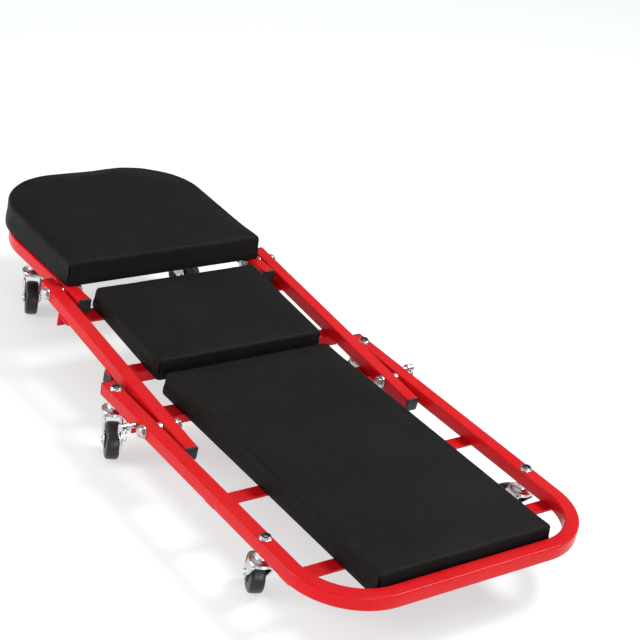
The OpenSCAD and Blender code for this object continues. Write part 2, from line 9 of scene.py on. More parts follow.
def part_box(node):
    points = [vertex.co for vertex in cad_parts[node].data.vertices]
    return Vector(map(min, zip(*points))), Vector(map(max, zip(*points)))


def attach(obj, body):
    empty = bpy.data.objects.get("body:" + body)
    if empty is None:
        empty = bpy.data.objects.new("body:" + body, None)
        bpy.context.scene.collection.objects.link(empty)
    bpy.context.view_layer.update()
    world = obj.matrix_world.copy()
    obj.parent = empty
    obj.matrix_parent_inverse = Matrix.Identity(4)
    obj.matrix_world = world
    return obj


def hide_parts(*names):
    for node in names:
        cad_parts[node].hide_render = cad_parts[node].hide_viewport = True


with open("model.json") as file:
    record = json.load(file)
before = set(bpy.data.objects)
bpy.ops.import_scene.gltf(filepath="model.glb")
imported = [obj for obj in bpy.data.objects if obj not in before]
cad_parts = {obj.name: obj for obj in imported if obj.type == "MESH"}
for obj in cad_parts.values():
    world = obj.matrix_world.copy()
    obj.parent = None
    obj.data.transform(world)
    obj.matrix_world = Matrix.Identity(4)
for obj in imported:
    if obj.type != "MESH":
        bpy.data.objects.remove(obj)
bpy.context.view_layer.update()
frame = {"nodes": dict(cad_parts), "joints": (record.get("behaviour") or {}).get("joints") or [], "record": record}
print("frame loaded,", len(frame["nodes"]), "nodes")

mm = 0.001
joints = {j["name"]: j for j in frame["joints"]}
lowerPivot = np.array(joints["lower_fold"]["pos_m"])
upperPivot = np.array(joints["upper_fold"]["pos_m"])
armLine = upperPivot - lowerPivot
armSpan = float(np.linalg.norm(armLine))
armDir = armLine / armSpan                                    # along the arms, towards the head
armUp = np.array([armDir[2], 0.0, -armDir[0]])                # square to the arms, away from the floor
xDir, yDir, zDir = np.eye(3)
casterNames = ["foot_right", "foot_left", "middle_right", "middle_left", "head_right", "head_left"]


def boxOf(node):
    # lowest and highest corner of a node at rest
    low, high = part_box(node)
    return np.array(low), np.array(high)


def onArms(u, y, p):
    # place at distance u from the lower pivot along the arms, y across and p square to them
    return lowerPivot + u * armDir + y * yDir + p * armUp


def gridFaces(nu, nv, wrapU=False, wrapV=False, start=0):
    # quads between neighbouring rows and columns of an nu by nv grid of points
    i = np.arange(nu if wrapU else nu - 1)
    j = np.arange(nv if wrapV else nv - 1)
    a, b = np.meshgrid(i, j, indexing="ij")
    a2, b2 = (a + 1) % nu, (b + 1) % nv
    quads = np.stack([a * nv + b, a2 * nv + b, a2 * nv + b2, a * nv + b2], -1)
    return quads.reshape(-1, 4) + start


def skin(points, wrapU=False, wrapV=True, caps=True):
    # a grid of points (rows, columns, 3) as one closed part: rings joined in order, and unless the rows wrap
    # round or caps is off, each end closed to the mean of its ring
    nu, nv = points.shape[:2]
    verts = points.reshape(-1, 3)
    faces = [gridFaces(nu, nv, wrapU, wrapV)]
    if caps and not wrapU:
        ring = np.arange(nv)
        following = (ring + 1) % nv
        low, high = len(verts), len(verts) + 1
        verts = np.vstack([verts, points[0].mean(0), points[-1].mean(0)])
        faces.append(np.stack([ring, following, np.full(nv, low)], 1))
        last = (nu - 1) * nv
        faces.append(np.stack([last + following, last + ring, np.full(nv, high)], 1))
    return facedOut(verts, faces)


def closeUp(verts, faces):
    # merges the points of one part that coincide, and drops the corners and faces that this flattens
    apart = 0.002 * mm                                            # points nearer than this are one
    _, kept, index = np.unique(np.round(verts / apart).astype(np.int64), axis=0, return_index=True,
                               return_inverse=True)
    index, out = index.reshape(-1), []
    for f in faces:
        f = index[f]
        stays = f != np.roll(f, -1, axis=1)                       # a corner that differs from the next one
        corners = stays.sum(1)
        whole = f[corners == f.shape[1]]
        if f.shape[1] == 4:
            whole = whole[(whole[:, 0] != whole[:, 2]) & (whole[:, 1] != whole[:, 3])]
            out.append(f[corners == 3][stays[corners == 3]].reshape(-1, 3))
        out.append(whole)
    return verts[kept], [f for f in out if len(f)], kept


def facedOut(verts, faces):
    # sum of signed tetrahedra over the faces: where it comes out negative the windings are turned round
    verts, faces, _ = closeUp(verts, faces)
    total = 0.0
    for f in faces:
        for k in range(1, f.shape[1] - 1):
            a, b, c = verts[f[:, 0]], verts[f[:, k]], verts[f[:, k + 1]]
            total += np.einsum("ij,ij->i", a, np.cross(b, c)).sum()
    if total < 0:
        faces = [f[:, ::-1] for f in faces]
    return verts, faces


def makePiece(name, parts, material, body, replaced=(), smoothAngle=35):
    # joins parts into one mesh object that rides on a body
    verts, loops, sizes, offset = [], [], [], 0
    for v, faces in parts:
        verts.append(v)
        for f in faces:
            loops.append((f + offset).ravel())
            sizes.append(np.full(len(f), f.shape[1]))
        offset += len(v)
    verts, loops, sizes = np.vstack(verts), np.concatenate(loops), np.concatenate(sizes)
    mesh = bpy.data.meshes.new(name)
    mesh.vertices.add(len(verts))
    mesh.vertices.foreach_set("co", verts.astype(np.float32).ravel())
    mesh.loops.add(len(loops))
    mesh.loops.foreach_set("vertex_index", loops.astype(np.int32))
    mesh.polygons.add(len(sizes))
    starts = np.concatenate([[0], np.cumsum(sizes)[:-1]])
    mesh.polygons.foreach_set("loop_start", starts.astype(np.int32))
    mesh.polygons.foreach_set("loop_total", sizes.astype(np.int32))
    mesh.polygons.foreach_set("use_smooth", np.ones(len(sizes), bool))
    mesh.update(calc_edges=True)
    mesh.validate()
    mesh.set_sharp_from_angle(angle=math.radians(smoothAngle))
    piece = bpy.data.objects.new(name, mesh)
    bpy.context.scene.collection.objects.link(piece)
    mesh.materials.append(material)
    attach(piece, body)
    if replaced:
        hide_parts(*replaced)
    return piece


def cornerPolygon(points, radii, n=5):
    # closed outline through the points, each corner turned into an arc tangent to its two sides
    points = np.asarray(points, float)
    out = []
    for k, p in enumerate(points):
        r = radii[k] if hasattr(radii, "__len__") else radii
        a = points[k - 1] - p
        b = points[(k + 1) % len(points)] - p
        a, b = a / np.linalg.norm(a), b / np.linalg.norm(b)
        half = math.acos(np.clip(a @ b, -1, 1)) / 2
        bisector = (a + b) / np.linalg.norm(a + b)
        centre = p + bisector * r / math.sin(half)
        begin = p + a * r / math.tan(half) - centre
        finish = p + b * r / math.tan(half) - centre
        t0 = math.atan2(begin[1], begin[0])
        turn = (math.atan2(finish[1], finish[0]) - t0 + math.pi) % (2 * math.pi) - math.pi
        t = t0 + turn * np.linspace(0, 1, n)
        out.append(centre + r * np.stack([np.cos(t), np.sin(t)], 1))
    return np.vstack(out)


def squareOutline(side, r, n=5):
    # square round the origin, its corners arcs of radius r
    h = side / 2
    return cornerPolygon([[-h, -h], [h, -h], [h, h], [-h, h]], r, n)


def sweep(path, sideways, upwards, outline):
    # carries an outline along a path: path + a * sideways + b * upwards for each outline point (a, b)
    a = outline[None, :, 0, None] * sideways[:, None, :]
    b = outline[None, :, 1, None] * upwards[:, None, :]
    return path[:, None, :] + a + b


def revolve(origin, axis, profile, n=48):
    # turns a profile of (radius, distance along the axis) about the axis through n steps
    axis = np.asarray(axis, float) / np.linalg.norm(axis)
    across = np.cross(axis, zDir if abs(axis[2]) < 0.9 else xDir)
    across /= np.linalg.norm(across)
    third = np.cross(axis, across)
    t = np.linspace(0, 2 * math.pi, n, endpoint=False)
    ring = np.cos(t)[:, None] * across + np.sin(t)[:, None] * third
    profile = np.asarray(profile, float)
    return np.asarray(origin) + profile[:, 0, None, None] * ring[None] + profile[:, 1, None, None] * axis


def roundProfile(points, r, n=4):
    # open profile whose inner corners are turned into small arcs
    points = np.asarray(points, float)
    out = [points[:1]]
    for k in range(1, len(points) - 1):
        p, a, b = points[k], points[k - 1] - points[k], points[k + 1] - points[k]
        la, lb = np.linalg.norm(a), np.linalg.norm(b)
        reach = min(r, la * 0.45, lb * 0.45)
        t = np.linspace(0, 1, n)[:, None]
        a, b = p + a / la * reach, p + b / lb * reach
        out.append((1 - t) ** 2 * a + 2 * t * (1 - t) * p + t ** 2 * b)
    out.append(points[-1:])
    return np.vstack(out)


def nodeGroup(name, inputs, outputs):
    # an empty shader group with float inputs, and outputs given as (name, kind)
    group = bpy.data.node_groups.new(name, "ShaderNodeTree")
    for title, value in inputs.items():
        s = group.interface.new_socket(name=title, in_out="INPUT", socket_type="NodeSocketFloat")
        s.default_value = value
    for title, kind in outputs.items():
        group.interface.new_socket(name=title, in_out="OUTPUT", socket_type="NodeSocket" + kind)
    return group, group.nodes.new("NodeGroupInput").outputs, group.nodes.new("NodeGroupOutput").inputs


def addNode(tree, kind, settings=None, **inputs):
    # a node with its settings, and each input either linked from a socket or given a value
    node = tree.nodes.new(kind)
    for key, value in (settings or {}).items():
        setattr(node, key, value)
    for key, value in inputs.items():
        numbered = key[0] == "i" and key[1:].isdigit()
        socket = node.inputs[int(key[1:]) if numbered else key.replace("_", " ")]
        if isinstance(value, bpy.types.NodeSocket):
            tree.links.new(value, socket)
        else:
            socket.default_value = value
    return node


def mathNode(tree, operation, a, b=0.0, clamp=False):
    # one step of arithmetic, kept within 0..1 where clamp is on
    return addNode(tree, "ShaderNodeMath", {"operation": operation, "use_clamp": clamp}, i0=a, i1=b).outputs[0]


def rampNode(tree, value, low, high):
    # 0 below low and 1 above high, with a soft step between
    node = addNode(tree, "ShaderNodeMapRange", {"interpolation_type": "SMOOTHSTEP", "clamp": True}, Value=value)
    node.inputs["From Min"].default_value = low
    node.inputs["From Max"].default_value = high
    return node.outputs[0]


def mixColour(tree, factor, a, b):
    # colour a where the factor is 0, b where it is 1
    node = tree.nodes.new("ShaderNodeMix")
    node.data_type = "RGBA"
    for socket, value in ((node.inputs[0], factor), (node.inputs[6], a), (node.inputs[7], b)):
        if isinstance(value, bpy.types.NodeSocket):
            tree.links.new(value, socket)
        else:
            socket.default_value = value
    return node.outputs[2]


def objectNoise(tree, scale, detail, roughness=0.5):
    # noise over the object's own coordinates
    place = tree.nodes.new("ShaderNodeTexCoord").outputs["Object"]
    return addNode(tree, "ShaderNodeTexNoise", Vector=place, Scale=scale, Detail=detail,
                   Roughness=roughness).outputs["Fac"]


def makeMottleGroup():
    # slow colour and gloss variation: two noises of different size, multiplied out to 0..1
    group, given, out = nodeGroup("mottle", {"Scale": 20.0, "Contrast": 0.3}, {"Mask": "Float"})
    big = objectNoise(group, given["Scale"], 4.0)
    small = objectNoise(group, mathNode(group, "MULTIPLY", given["Scale"], 7.3), 3.0)
    blend = mathNode(group, "MULTIPLY", big, small)
    centred = mathNode(group, "SUBTRACT", mathNode(group, "MULTIPLY", blend, 4.0), 0.5)
    spread = mathNode(group, "MULTIPLY", mathNode(group, "SUBTRACT", centred, 0.5), given["Contrast"])
    group.links.new(mathNode(group, "ADD", spread, 0.5, True), out["Mask"])
    return group


def makeEdgeGroup():
    # edges for a painted highlight, and worn edges: how far a rounded normal turns from the face's own, broken up by
    # noise for the wear
    group, given, out = nodeGroup("edgeWearAndHighlight", {"Width": 0.001, "Amount": 0.5, "Scale": 150.0},
                                  {"Edge": "Float", "Wear": "Float", "Rounded": "Vector"})
    rounded = addNode(group, "ShaderNodeBevel", {"samples": 4}, Radius=given["Width"]).outputs[0]
    own = group.nodes.new("ShaderNodeNewGeometry").outputs["Normal"]
    dot = addNode(group, "ShaderNodeVectorMath", {"operation": "DOT_PRODUCT"}, i0=rounded, i1=own).outputs["Value"]
    edge = rampNode(group, mathNode(group, "SUBTRACT", 1.0, dot), 0.01, 0.16)
    broken = rampNode(group, objectNoise(group, given["Scale"], 6.0, 0.65), 0.56, 0.70)
    wear = mathNode(group, "MULTIPLY", mathNode(group, "MULTIPLY", edge, broken), given["Amount"], True)
    for socket, title in ((edge, "Edge"), (rounded, "Rounded"), (wear, "Wear")):
        group.links.new(socket, out[title])
    return group


def makeDustGroup():
    # fine dust: lies on faces that look up, thicker in slow patches
    group, given, out = nodeGroup("dust", {"Amount": 0.1}, {"Mask": "Float"})
    normal = group.nodes.new("ShaderNodeNewGeometry").outputs["Normal"]
    up = addNode(group, "ShaderNodeSeparateXYZ", Vector=normal).outputs["Z"]
    patch = objectNoise(group, 9.0, 8.0, 0.7)
    lying = mathNode(group, "MULTIPLY", rampNode(group, up, 0.2, 0.95), rampNode(group, patch, 0.35, 0.8))
    group.links.new(mathNode(group, "MULTIPLY", lying, given["Amount"], True), out["Mask"])
    return group


def makePebbleGroup():
    # embossed grain: rounded cells with fine creases between them, as a height
    group, given, out = nodeGroup("pebbleGrain", {"Scale": 700.0, "Creases": 0.5},
                                  {"Height": "Float", "Crease": "Float"})
    place = group.nodes.new("ShaderNodeTexCoord").outputs["Object"]
    shake = addNode(group, "ShaderNodeTexNoise", Vector=place, Scale=260.0, Detail=2.0)
    moved = addNode(group, "ShaderNodeVectorMath", {"operation": "MULTIPLY_ADD"}, i0=shake.outputs["Color"],
                    i1=(0.0016, 0.0016, 0.0016), i2=place).outputs[0]
    cells = addNode(group, "ShaderNodeTexVoronoi", {"feature": "DISTANCE_TO_EDGE"}, Vector=moved,
                    Scale=given["Scale"])
    crease = mathNode(group, "SUBTRACT", 1.0, rampNode(group, cells.outputs["Distance"], 0.0, 0.16))
    fine = mathNode(group, "MULTIPLY", objectNoise(group, 2600.0, 3.0), 0.35)
    height = mathNode(group, "SUBTRACT", fine, mathNode(group, "MULTIPLY", crease, given["Creases"]))
    group.links.new(height, out["Height"])
    group.links.new(crease, out["Crease"])
    return group


mottle, edgeWearAndHighlight, dust, pebble = makeMottleGroup(), makeEdgeGroup(), makeDustGroup(), makePebbleGroup()


def useGroup(tree, group, **values):
    # a group placed in a material with its own values; gives its outputs
    node = tree.nodes.new("ShaderNodeGroup")
    node.node_tree = group
    for key, value in values.items():
        node.inputs[key].default_value = value
    return node.outputs


def startMaterial(name, **constants):
    # a material with one Principled shader whose fixed values are set on its own sockets
    material = bpy.data.materials.new(name)
    material.use_nodes = True
    tree = material.node_tree
    shader = tree.nodes["Principled BSDF"]
    for key, value in constants.items():
        shader.inputs[key.replace("_", " ")].default_value = value
    return material, tree, shader


def grey(v):
    # an opaque grey as a colour
    return (v, v, v, 1.0)


def setGloss(tree, shader, mask, low, high, extra=None):
    # roughness from low to high as the mask goes from 0 to 1, with extra added to it
    rough = addNode(tree, "ShaderNodeMapRange", Value=mask)
    rough.inputs["To Min"].default_value, rough.inputs["To Max"].default_value = low, high
    value = rough.outputs[0] if extra is None else mathNode(tree, "ADD", rough.outputs[0], extra)
    tree.links.new(value, shader.inputs["Roughness"])


def setBump(tree, shader, height, strength, distance, normal=None):
    # a bump of the given height, over the shader's own normal or a rounded one
    bump = addNode(tree, "ShaderNodeBump", Strength=strength, Distance=distance, Height=height)
    if normal is not None:
        tree.links.new(normal, bump.inputs["Normal"])
    tree.links.new(bump.outputs[0], shader.inputs["Normal"])


def makeRedPowder():
    # glossy powder coat with orange peel: paler over the edges as a painted highlight, chipped to a dark primer in
    # places
    look = {"red": (0.60, 0.0044, 0.0080, 1), "deep": (0.53, 0.0032, 0.0065, 1), "edge": (0.90, 0.060, 0.066, 1),
            "primer": (0.16, 0.03, 0.03, 1), "dust": (0.5, 0.42, 0.38, 1), "edgeHighlightShare": 0.6, "chips": 0.5,
            "gloss": (0.22, 0.34), "peel": 0.06, "peelDepth": 0.6 * mm}
    material, tree, shader = startMaterial("redPowder", Specular_IOR_Level=0.165)
    slow = useGroup(tree, mottle, Scale=9.0, Contrast=0.45)["Mask"]
    edges = useGroup(tree, edgeWearAndHighlight, Width=1.3 * mm, Amount=0.25, Scale=240.0)
    dirt = useGroup(tree, dust, Amount=0.02)["Mask"]
    colour = mixColour(tree, slow, look["deep"], look["red"])
    # painted highlight: a paler red laid along the edges, where the light leaves bright lines
    colour = mixColour(tree, mathNode(tree, "MULTIPLY", edges["Edge"], look["edgeHighlightShare"]), colour, look["edge"])
    colour = mixColour(tree, mathNode(tree, "MULTIPLY", edges["Wear"], look["chips"]), colour, look["primer"])
    tree.links.new(mixColour(tree, dirt, colour, look["dust"]), shader.inputs["Base Color"])
    setGloss(tree, shader, slow, *look["gloss"])
    setBump(tree, shader, objectNoise(tree, 520.0, 1.5), look["peel"], look["peelDepth"], edges["Rounded"])
    return material


def makeZinc():
    # zinc plate: slow change between bright and dull, darker wear on the edges, fine pits
    look = {"bright": (0.67, 0.68, 0.69, 1), "dull": (0.53, 0.54, 0.56, 1), "worn": (0.36, 0.35, 0.33, 1),
            "gloss": (0.32, 0.20), "pits": 0.06, "pitDepth": 0.3 * mm}
    material, tree, shader = startMaterial("zincPlate", Metallic=1.0)
    slow = useGroup(tree, mottle, Scale=60.0, Contrast=0.7)["Mask"]
    edges = useGroup(tree, edgeWearAndHighlight, Width=0.7 * mm, Amount=0.6, Scale=320.0)
    colour = mixColour(tree, slow, look["dull"], look["bright"])
    tree.links.new(mixColour(tree, edges["Wear"], colour, look["worn"]), shader.inputs["Base Color"])
    setGloss(tree, shader, slow, *look["gloss"])
    setBump(tree, shader, objectNoise(tree, 1400.0, 3.0), look["pits"], look["pitDepth"], edges["Rounded"])
    return material


def makeVinyl():
    # fine-grained vinyl: darker in the creases of its grain as painted shade, near black in the cuts of the pleats as
    # painted shade in their gaps
    look = {"black": (0.0055, 0.0051, 0.0047, 1), "grey": (0.0088, 0.0083, 0.0076, 1),
            "crease": (0.004, 0.0039, 0.0037, 1), "dust": (0.3, 0.28, 0.26, 1), "slitShade": grey(0.0008),
            "gloss": (0.44, 0.56), "creaseGloss": 0.12, "grain": 0.7, "grainDepth": 0.35 * mm}
    material, tree, shader = startMaterial("blackVinyl", Specular_IOR_Level=0.095)
    slow = useGroup(tree, mottle, Scale=9.0, Contrast=0.9)["Mask"]
    grain = useGroup(tree, pebble, Scale=620.0, Creases=0.6)
    dirt = useGroup(tree, dust, Amount=0.012)["Mask"]
    colour = mixColour(tree, slow, look["black"], look["grey"])
    # painted shade: the creases of the grain are darkened to stand for the shade inside them
    colour = mixColour(tree, mathNode(tree, "MULTIPLY", grain["Crease"], 0.5), colour, look["crease"])
    colour = mixColour(tree, dirt, colour, look["dust"])
    # painted shade: a near-black laid in the cuts of the pleats at the corners, where shade fills the gap
    slitShade = addNode(tree, "ShaderNodeAttribute", {"attribute_name": "slitShade"}).outputs["Fac"]
    tree.links.new(mixColour(tree, slitShade, colour, look["slitShade"]), shader.inputs["Base Color"])
    setGloss(tree, shader, slow, *look["gloss"], mathNode(tree, "MULTIPLY", grain["Crease"], look["creaseGloss"]))
    setBump(tree, shader, grain["Height"], look["grain"], look["grainDepth"])
    return material


def makePlastic(name, low, high, roughness, grainScale, grainStrength):
    # moulded black plastic: grey from low to high, paler on worn edges, with dust and a fine grain
    look = {"dust": (0.3, 0.28, 0.25, 1), "wornTimes": 3, "grainDepth": 0.3 * mm}
    material, tree, shader = startMaterial(name, Specular_IOR_Level=0.28)
    slow = useGroup(tree, mottle, Scale=40.0, Contrast=1.0)["Mask"]
    edges = useGroup(tree, edgeWearAndHighlight, Width=0.8 * mm, Amount=0.5, Scale=260.0)
    dirt = useGroup(tree, dust, Amount=0.08)["Mask"]
    colour = mixColour(tree, slow, grey(low), grey(high))
    colour = mixColour(tree, edges["Wear"], colour, grey(high * look["wornTimes"]))
    tree.links.new(mixColour(tree, dirt, colour, look["dust"]), shader.inputs["Base Color"])
    setGloss(tree, shader, slow, roughness - 0.05, roughness + 0.07)
    setBump(tree, shader, objectNoise(tree, grainScale, 2.0), grainStrength, look["grainDepth"], edges["Rounded"])
    return material


def makeBoard():
    # pressed wood board: short fibres drawn out along X over a warm brown
    look = {"dark": (0.22, 0.12, 0.055, 1), "light": (0.42, 0.27, 0.14, 1), "stain": (0.3, 0.18, 0.09, 1),
            "stains": 0.4, "fibres": 0.3, "fibreDepth": 0.4 * mm}
    material, tree, shader = startMaterial("pressedBoard", Specular_IOR_Level=0.25)
    place = tree.nodes.new("ShaderNodeTexCoord").outputs["Object"]
    drawn = addNode(tree, "ShaderNodeMapping", Vector=place, Scale=(1.0, 5.0, 5.0)).outputs[0]
    fibres = addNode(tree, "ShaderNodeTexNoise", Vector=drawn, Scale=130.0, Detail=7.0, Roughness=0.7).outputs["Fac"]
    slow = useGroup(tree, mottle, Scale=12.0, Contrast=1.0)["Mask"]
    colour = mixColour(tree, rampNode(tree, fibres, 0.35, 0.65), look["dark"], look["light"])
    colour = mixColour(tree, mathNode(tree, "MULTIPLY", slow, look["stains"]), colour, look["stain"])
    tree.links.new(colour, shader.inputs["Base Color"])
    tree.links.new(mathNode(tree, "ADD", 0.68, mathNode(tree, "MULTIPLY", fibres, 0.25)), shader.inputs["Roughness"])
    setBump(tree, shader, fibres, look["fibres"], look["fibreDepth"])
    return material


redPowder, zincPlate, blackVinyl, pressedBoard = makeRedPowder(), makeZinc(), makeVinyl(), makeBoard()
plugPlastic = makePlastic("plugPlastic", 0.010, 0.018, 0.42, 1500.0, 0.25)
wheelPlastic = makePlastic("wheelPlastic", 0.012, 0.022, 0.34, 900.0, 0.12)
print("materials made")

slotMaterials = {"red_powder": redPowder, "zinc": zincPlate, "vinyl": blackVinyl, "board": pressedBoard,
                 "foam": pressedBoard, "plug_plastic": plugPlastic, "wheel_plastic": wheelPlastic}
for entry in frame["record"]["subparts"]:
    for slot in frame["nodes"][entry["node"]].material_slots:
        slot.material = slotMaterials[entry["material_slot"]]


tubeLow, tubeHigh = boxOf("base_frame")
tubeSide = tubeHigh[2] - tubeLow[2]
tubeLook = {"corner": 2.0 * mm, "flatten": 0.022, "baseBendR": 85 * mm, "headBendR": 110 * mm}
tubeOutline = squareOutline(tubeSide, tubeLook["corner"], 6)


def uPath(openX, closedX, halfWidth, z, bendR, rows=28, railRows=12, crossRows=10):
    # from one open end round two quarter bends to the other: straight, arc, straight, arc, straight;
    # bent is the sine of twice the angle turned within a bend, and 0 on the straights
    toFar = 1.0 if closedX > openX else -1.0
    t = np.linspace(0, math.pi / 2, rows)
    straightX = closedX - toFar * bendR
    first = np.stack([np.linspace(openX, straightX, railRows), np.full(railRows, -halfWidth)], 1)
    arc1 = np.stack([straightX + toFar * bendR * np.sin(t), -halfWidth + bendR - bendR * np.cos(t)], 1)
    crossY = np.linspace(-halfWidth + bendR, halfWidth - bendR, crossRows)
    across = np.stack([np.full(crossRows, closedX), crossY], 1)
    arc2 = np.stack([straightX + toFar * bendR * np.cos(t), halfWidth - bendR + bendR * np.sin(t)], 1)
    last = first[::-1] * [1, -1]
    flat = np.vstack([first[:-1], arc1, across[1:-1], arc2, last[1:]])
    rail, bend = np.zeros(railRows - 1), np.sin(2 * t)
    bent = np.concatenate([rail, bend, np.zeros(crossRows - 2), bend, rail])
    return np.c_[flat, np.full(len(flat), z)], bent


def bentTube(node, openEnd, bendR):
    # square tube carried along the U path; where it bends, its sides are pressed a little flatter
    low, high = boxOf(node)
    half = high[1] - tubeSide / 2
    z = (low[2] + high[2]) / 2
    openX, closedX = low[0], high[0] - tubeSide / 2
    if openEnd == "foot":
        openX, closedX = high[0], low[0] + tubeSide / 2
    path, bent = uPath(openX, closedX, half, z, bendR)
    along = np.gradient(path, axis=0)
    along /= np.linalg.norm(along, axis=1)[:, None]
    sideways = np.cross(along, zDir)
    squeeze = 1 - tubeLook["flatten"] * np.clip(bent, 0, 1)[:, None]
    return skin(sweep(path, sideways * squeeze, np.ones((len(path), 1)) * zDir, tubeOutline))


makePiece("baseTube", [bentTube("base_frame", "head", tubeLook["baseBendR"])], redPowder, "base",
          ["base_frame"])
makePiece("headTube", [bentTube("head_frame", "foot", tubeLook["headBendR"])], redPowder, "head_frame_body",
          ["head_frame"])
print("frame tubes made")


# flap: how far the hem reaches in; backing: height of the backing cloth; slack: how much smaller a pad starts than
# puffCap, voxel, pressure, frames: the blowing up; slitDeep, slitHalf, slitIn, lip: the pleats beside the corners
padDetail = {"flap": 31 * mm, "backing": 0.95 * mm, "bottomR": 2.5 * mm, "slack": 1.2 * mm, "boardTop": 11 * mm,
             "puffCap": 5 * mm, "voxel": 6 * mm, "pressure": 4.0, "frames": 20, "spacing": 3.2 * mm,
             "slitDeep": 2.4 * mm, "slitHalf": 1.1 * mm, "slitIn": 1.6 * mm, "lip": 0.7 * mm, "ripple": 0.15 * mm,
             "midFootU": 102 * mm, "fill": 0.85}
# puff: share of the blowing up that a pad takes; wedge: thicker towards the head; wider: past its board on both sides
pads = {
    "legPad": {"node": "leg_pad", "body": "base", "headR": 7 * mm, "footR": 7 * mm, "tilt": False,
               "puff": 0.25, "crown": 0.7 * mm, "wedge": 0.0, "topR": 4 * mm, "wider": 0.0},
    "midPad": {"node": "mid_pad", "body": "mid_frame", "headR": 7 * mm, "footR": 7 * mm, "tilt": True,
               "puff": 0.4, "crown": 1.2 * mm, "wedge": 0.0, "topR": 5.5 * mm, "wider": 0.0},
    "headPad": {"node": "head_pad", "body": "head_frame_body", "headR": 103 * mm, "footR": 7 * mm,
                "tilt": False, "puff": 0.4, "crown": 3 * mm, "wedge": 7 * mm, "topR": 6.5 * mm, "wider": 5 * mm},
}


def padOutline(length, width, headR, footR, spacing, fine):
    # rounded outline from the foot edge's middle, round by -Y; steps are shorter near the two foot corners
    h = width / 2
    corners = cornerPolygon([[0, -h], [-length, -h], [-length, h], [0, h]], [footR, headR, headR, footR], 40)
    middle, reach = np.array([[0.0, 0.0]]), 0.4 * mm              # reach: how far the tangent looks each way
    ring = np.vstack([middle, corners, middle])
    step = np.linalg.norm(np.diff(ring, axis=0), axis=1)
    s = np.concatenate([[0], np.cumsum(step)])
    total = s[-1]
    dense = np.linspace(0, total, 6000)
    edges = [h, h + length, total - h - length, total - h]
    pull = sum(np.exp(-((dense - e) / (9 * mm)) ** 2) for e in edges)
    rate = 1 + fine * pull
    measure = np.concatenate([[0], np.cumsum((rate[1:] + rate[:-1]) / 2 * np.diff(dense))])
    n = int(measure[-1] / spacing) // 2 * 2
    at = np.interp(np.linspace(0, measure[-1], n, endpoint=False), measure, dense)
    points = np.stack([np.interp(at, s, ring[:, 0]), np.interp(at, s, ring[:, 1])], 1)
    ahead = np.stack([np.interp((at + reach) % total, s, ring[:, k]) for k in (0, 1)], 1)
    behind = np.stack([np.interp((at - reach) % total, s, ring[:, k]) for k in (0, 1)], 1)
    tangent = ahead - behind
    tangent /= np.linalg.norm(tangent, axis=1)[:, None]
    inward = np.stack([tangent[:, 1], -tangent[:, 0]], 1)
    return points, inward, at, total


def padSection(thick, topR, sideRows):
    # (inset, height) from the backing cloth on the underside, over the folded hem, round both edges, to the top
    t = np.linspace(0, math.pi / 2, 7)
    flap, backing, bottomR = padDetail["flap"], padDetail["backing"], padDetail["bottomR"]
    under = np.array([[flap + 1.2 * mm, backing], [flap + 0.3 * mm, 0.35 * mm], [flap - 0.5 * mm, 0.0],
                      [flap - 2.0 * mm, 0.0], [flap - 3.5 * mm, 0.4 * mm], [flap - 8 * mm, 0.45 * mm],
                      [flap - 14 * mm, 0.45 * mm], [bottomR + 2.5 * mm, 0.2 * mm], [bottomR, 0.0]])
    lowArc = np.stack([bottomR - bottomR * np.sin(t), bottomR - bottomR * np.cos(t)], 1)
    side = np.stack([np.zeros(sideRows), np.linspace(bottomR, thick - topR, sideRows)], 1)
    topArc = np.stack([topR - topR * np.cos(t), thick - topR + topR * np.sin(t)], 1)
    inside = np.array([[flap + 5 * mm, backing]])
    return np.vstack([inside, under, lowArc[1:], side[1:-1], topArc])


def padSurface(length, width, thick, spec, spacing, fine, topRows, sideRows):
    # outline inset and raised by the section; the top runs from its edge to a spine along the pad's middle,
    # domed by crown * (1 - (1 - w)^2.5) for w from edge to spine
    slack = padDetail["slack"]
    points, inward, at, total = padOutline(length, width, spec["headR"], spec["footR"], spacing, fine)
    section = padSection(thick - slack, spec["topR"], sideRows)
    inset = section[:, 0] + slack * np.clip((section[:, 1] - padDetail["boardTop"]) / (5 * mm), 0, 1)
    rings = points[None] + inset[:, None, None] * inward[None]
    i = inset[:, None]                                            # no ring folds over itself in a tight corner
    rings[..., 0] = np.clip(rings[..., 0], -length + i, -i)
    rings[..., 1] = np.clip(rings[..., 1], i - width / 2, width / 2 - i)
    rings = np.concatenate([rings, np.broadcast_to(section[:, 1, None, None], rings.shape[:2] + (1,))], 2)
    h = width / 2
    spine = np.stack([np.clip(points[:, 0], -length + h, -h), np.zeros(len(points))], 1)
    w = np.linspace(0, 1, topRows + 1)[1:]
    edge = rings[-1]
    top = edge[None, :, :2] * (1 - w[:, None, None]) + spine[None] * w[:, None, None]
    crown = spec["crown"] * (1 - (1 - w) ** 2.5)
    top = np.concatenate([top, np.broadcast_to((thick - slack + crown)[:, None, None], top.shape[:2] + (1,))], 2)
    low = rings[0][None, :, :2] * (1 - w[::4, None, None]) + spine[None] * w[::4, None, None]
    if w[::4][-1] < 1:
        low = np.concatenate([low, spine[None]], 0)
    low = np.concatenate([low, np.full(low.shape[:2] + (1,), padDetail["backing"])], 2)[::-1]
    grid = np.concatenate([low, rings, top], 0)
    ahead = np.clip(-grid[..., 0] / length, 0, 1)
    share = np.clip((grid[..., 2] - padDetail["boardTop"]) / (thick - padDetail["boardTop"]), 0, 1)
    grid[..., 2] += spec["wedge"] * share * ahead * ahead * (3 - 2 * ahead)       # thicker towards the head end
    return grid, at, total


